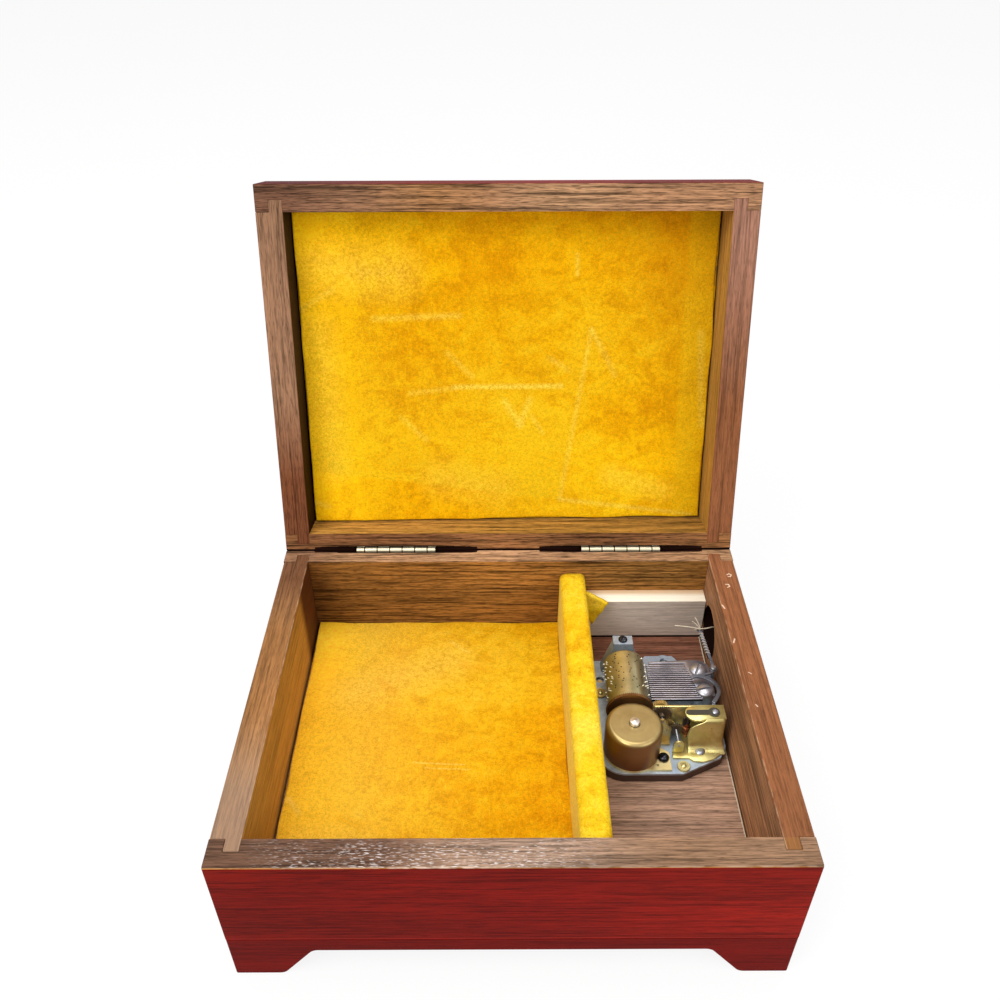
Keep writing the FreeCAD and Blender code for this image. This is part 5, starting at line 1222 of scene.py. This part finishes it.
def slotted_dome(bm, place, radius, height, slot, turn, dome=0.75):
    """Domed screw head with a straight slot, standing on a place."""
    part = bmesh.new()
    rim = height * (1 - dome)
    outline = [(0, -0.4), (radius * 0.98, -0.4), (radius, 0), (radius, rim)]
    for across, up in arc_points((0, 0), 1, 15, 90, 5):
        outline.append((radius * across, rim + (height - rim) * up))
    ring_profile(part, outline, 36)
    for offset in (slot, slot * 0.92, -slot * 0.92, -slot):
        bmesh.ops.bisect_plane(part, geom=part.verts[:] + part.edges[:] + part.faces[:],
                               plane_co=(0, offset * MM / 2, 0), plane_no=(0, 1, 0))
    bed = (height - 0.42 * radius) * MM
    for vert in part.verts:
        if abs(vert.co.y) <= slot * 0.93 * MM / 2 and vert.co.z > bed:
            vert.co.z = bed
    bmesh.ops.transform(part, matrix=Matrix.Rotation(math.radians(turn), 4, "Z"), verts=part.verts)
    bmesh.ops.recalc_face_normals(part, faces=part.faces)
    join(bm, part, place)


def build_screws():
    """Slotted heads of the two bright comb screws and the two black ones."""
    bm = bmesh.new()
    slotted_dome(bm, spot(23.8, 25.2, 11.9), 2.75, 1.45, 0.75, 62)
    slotted_dome(bm, spot(24.6, 16.4, 11.9), 2.75, 1.45, 0.75, 8)
    bright = metal("polished_steel", (186, 186, 192), (128, 128, 136), 0.36, 17.0, 0.7, 0.85)
    settle(mesh_object("comb_screw_heads", bm, bright, 35, False), "case", "screw_steel", "comb_screws")
    bm = bmesh.new()
    slotted_dome(bm, spot(0, 34.4, 16.7), 1.5, 1.25, 0.45, 60, 0.85)
    slotted_dome(bm, spot(9.4, -3.7, 4.5), 1.7, 1.5, 0.5, 40, 0.85)
    black = metal("black_oxide", (58, 58, 64), (28, 28, 32), 0.2, 11.0)
    settle(mesh_object("black_screw_heads", bm, black, 35, False), "case", "black_steel", "black_screws")


def spun(name, place, outline, material, body, slot, *replaced, steps=40):
    """Turned piece from a (radius, height) outline, upright on a place."""
    bm = bmesh.new()
    ring_profile(bm, outline, steps)
    bmesh.ops.translate(bm, verts=bm.verts, vec=place)
    return settle(mesh_object(name, bm, material, 35), body, slot, *replaced)


def build_discs():
    """Brass adjuster discs, the bracket's rivets and the boss on the drum's arbor."""
    bm = bmesh.new()
    for x, y in ((-7.6, 22.7), (15.2, -6.4)):
        part = bmesh.new()
        ring_profile(part, [(0, 0), (2.0, 0), (2.0, 0.4), (1.85, 0.6), (1.3, 0.6), (1.2, 0.45), (0.85, 0.45),
                            (0.8, 0.8), (0.55, 1.0), (0, 1.05)], 40)
        join(bm, part, spot(x, y, 3.7))
    brass = metal("disc_brass", (206, 194, 140), (160, 142, 88), 0.3, 18.0)
    settle(mesh_object("adjuster_discs", bm, brass, 35), "case", "bright_brass", "brass_standoffs")
    steel = metal("rivet_steel", (176, 180, 190), (128, 132, 144), 0.3, 19.0)
    spun("bracket_rivet", spot(21.0, -1.0, 4.4), [(0, -0.6), (1.0, -0.6), (1.0, 0), (1.55, 0), (1.55, 0.2),
         (1.3, 0.42), (0.6, 0.5), (0, 0.5)], steel, "case", "steel", "bracket_rivets")
    spun("leaf_screw", spot(25.3, 4.9, 15.6), [(0, -0.2), (0.95, -0.2), (0.95, 0.15), (0.7, 0.38), (0, 0.45)],
         steel, "case", "steel")
    boss = metal("boss_steel", (214, 206, 196), (160, 146, 126), 0.32, 20.0)
    spun("arbor_boss", spot(0, 0, 16.3), [(0, 0), (1.62, 0), (1.62, 0.85), (1.4, 1.12), (0.8, 1.15),
         (0.5, 1.3), (0, 1.4)], boss, "winding", "steel")


def build_worm():
    """Single start worm on its shaft, standing in the bracket."""
    pitch = math.pi * 0.2
    turns = 5
    steps = 24
    low = 5.7
    bm = bmesh.new()
    section = [bm.verts.new(Vector(place) * MM) for place in
               ((0.6, 0, -0.19), (1.25, 0, -0.07), (1.25, 0, 0.07), (0.6, 0, 0.19))]
    edges = [bm.edges.new((a, b)) for a, b in zip(section, section[1:] + section[:1])]
    bmesh.ops.spin(bm, geom=section + edges, cent=(0, 0, 0), axis=(0, 0, 1), angle=math.tau * turns,
                   steps=steps * turns, dvec=(0, 0, pitch * MM / steps))
    bmesh.ops.holes_fill(bm, edges=[edge for edge in bm.edges if edge.is_boundary])
    turn = Matrix.Rotation(math.tau * (low - 7.7) / pitch, 4, "Z")
    bmesh.ops.transform(bm, matrix=Matrix.Translation((0, 0, low * MM)) @ turn, verts=bm.verts)
    for radius, start, end in ((0.8, low - 0.3, low + turns * pitch + 0.7), (0.4, 3.75, 15.3)):
        place = Matrix.Translation((0, 0, (start + end) / 2 * MM))
        bmesh.ops.create_cone(bm, cap_ends=True, segments=20, radius1=radius * MM, radius2=radius * MM,
                              depth=(end - start) * MM, matrix=place)
    bmesh.ops.translate(bm, verts=bm.verts, vec=spot(17.35, 4.8, 0))
    copper = metal("worm_copper", (168, 104, 66), (104, 60, 38), 0.3, 12.0)
    settle(mesh_object("worm_screw", bm, copper, 35), "governor", "worm_plastic", "worm")


def ribbon(bm, points, half, thick):
    """Flat strip along (x, y, z) points in millimetres, standing on its lower face."""
    rows = []
    for number, point in enumerate(points):
        before = points[max(0, number - 1)]
        after = points[min(len(points) - 1, number + 1)]
        run = math.hypot(after[0] - before[0], after[1] - before[1])
        side = Vector((-(after[1] - before[1]) / run, (after[0] - before[0]) / run, 0)) * half
        centre = Vector(point)
        rows.append([bm.verts.new(spot(*(centre + side))), bm.verts.new(spot(*(centre - side)))])
    grown = bmesh.ops.extrude_face_region(bm, geom=skin(bm, rows))
    bmesh.ops.translate(bm, verts=grown_verts(grown), vec=(0, 0, thick * MM))


def build_lever():
    """Stop lever: a thin strip with a hoop round the front comb screw, and an arm with an eye."""
    low = LEVER_LOW
    bm = bmesh.new()
    cross = smooth_path([(28.4, 24.2), (27.4, 22.4), (24.4, 21.5), (21.0, 21.1)])
    ribbon(bm, [(x, y, low) for x, y in cross], 0.36, 0.5)
    hoop = smooth_path([(20.6, 20.3), (22.2, 20.9), (24.4, 20.6), (26.7, 19.2), (28.2, 16.9), (28.3, 14.2),
                        (27.1, 11.6), (25.8, 9.8)])
    ribbon(bm, [(x, y, low + 0.02) for x, y in hoop], 0.62, 0.6)
    arm = smooth_path([(28.4, 24.2, low), (28.1, 27.5, low + 0.4), (27.5, 31.5, low + 1.1),
                       (26.8, 35.5, low + 1.7), (26.5, 38.8, low + 2.1)])
    ribbon(bm, arm, 0.5, 0.45)
    for x, y, z, outer, inner in ((28.4, 24.2, low, 1.3, 0.55), (26.4, 39.6, low + 2.2, 1.1, 0.5)):
        part = bmesh.new()
        ring_profile(part, [(inner, 0), (outer, 0), (outer, 0.45), (inner, 0.45), (inner, 0)], 28)
        join(bm, part, spot(x, y, z))
    finger = [(25.6, 9.8), (26.0, 9.8), (26.2, 10.7), (26.3, 13.8), (25.3, 13.8), (25.4, 10.7)]
    plate(bm, finger, "XZ", 9.25, 9.75)
    grey = metal("lever_steel", (136, 140, 150), (74, 76, 84), 0.3, 21.0, 0.8)
    lever = mesh_object("stop_lever_strip", bm, grey, 40)
    soft = lever.modifiers.new("edge_round", "BEVEL")
    soft.width = 0.08 * MM
    soft.segments = 2
    soft.limit_method = "ANGLE"
    soft.angle_limit = math.radians(50)
    settle(lever, "lever", "steel", "stop_lever")


def strand(name, points, radius, material):
    """Thread along control points in millimetres."""
    curve = bpy.data.curves.new(name, "CURVE")
    curve.dimensions = "3D"
    curve.bevel_depth = radius * MM
    curve.bevel_resolution = 3
    curve.resolution_u = 16
    curve.use_fill_caps = True
    spline = curve.splines.new("NURBS")
    spline.points.add(len(points) - 1)
    for point, place in zip(spline.points, points):
        point.co = (*(value * MM for value in place), 1)
    spline.order_u = 3
    spline.use_endpoint_u = True
    thing = bpy.data.objects.new(name, curve)
    bpy.context.collection.objects.link(thing)
    curve.materials.append(material)
    return thing


THREAD_ROUTE = [(72.4, 42.15, 22.75), (71.8, 41.75, 30.25), (69.2, 36.15, 37.05), (64.4, 34.25, 37.45),
                (59.8, 35.05, 38.05), (55.7, 36.55, 37.05)]


KNOT_TAILS = [[(26.5, 39.4, 16.3), (25.2, 40.6, 17.6), (23.8, 41.2, 18.4)],
              [(26.5, 39.4, 16.3), (26.0, 40.9, 17.8), (24.9, 42.6, 18.8)],
              [(26.4, 39.2, 16.3), (25.0, 38.9, 17.4), (24.2, 38.0, 17.6)]]


def build_thread():
    """Stop thread from the wall pocket through the lever's eye, its binding and the tails of its knot."""
    cotton = plain("cotton_thread", (206, 194, 172), 0.8, 14.0)
    thread = strand("stop_thread_strand", THREAD_ROUTE, 0.2, cotton)
    settle(thread, "lever", "thread", "stop_thread")
    extras = [build_binding()]
    for number, route in enumerate(KNOT_TAILS):
        tail = strand("knot_tail_%d" % number, [tuple(spot(*point) / MM) for point in route], 0.16, cotton)
        extras.append(settle(tail, "lever", "thread"))


def build_binding():
    """Turns of thread that bind the stop thread to the lever's arm."""
    turns = 8
    start = 30.0
    points = []
    for step in range(turns * 8 + 1):
        share = step / (turns * 8)
        angle = math.tau * turns * share
        along = 8.6 * share
        x = 27.62 - 0.14 * along + 0.62 * math.cos(angle)
        z = LEVER_LOW + 0.95 + 0.15 * along + 0.46 * math.sin(angle)
        points.append(tuple(spot(x, start + along, z) / MM))
    cotton = plain("binding_thread", (178, 170, 160), 0.8, 24.0)
    return settle(strand("thread_binding", points, 0.19, cotton), "lever", "thread")


build_camera()
build_studio()
finish_wood()
build_linings()
finish_movement()
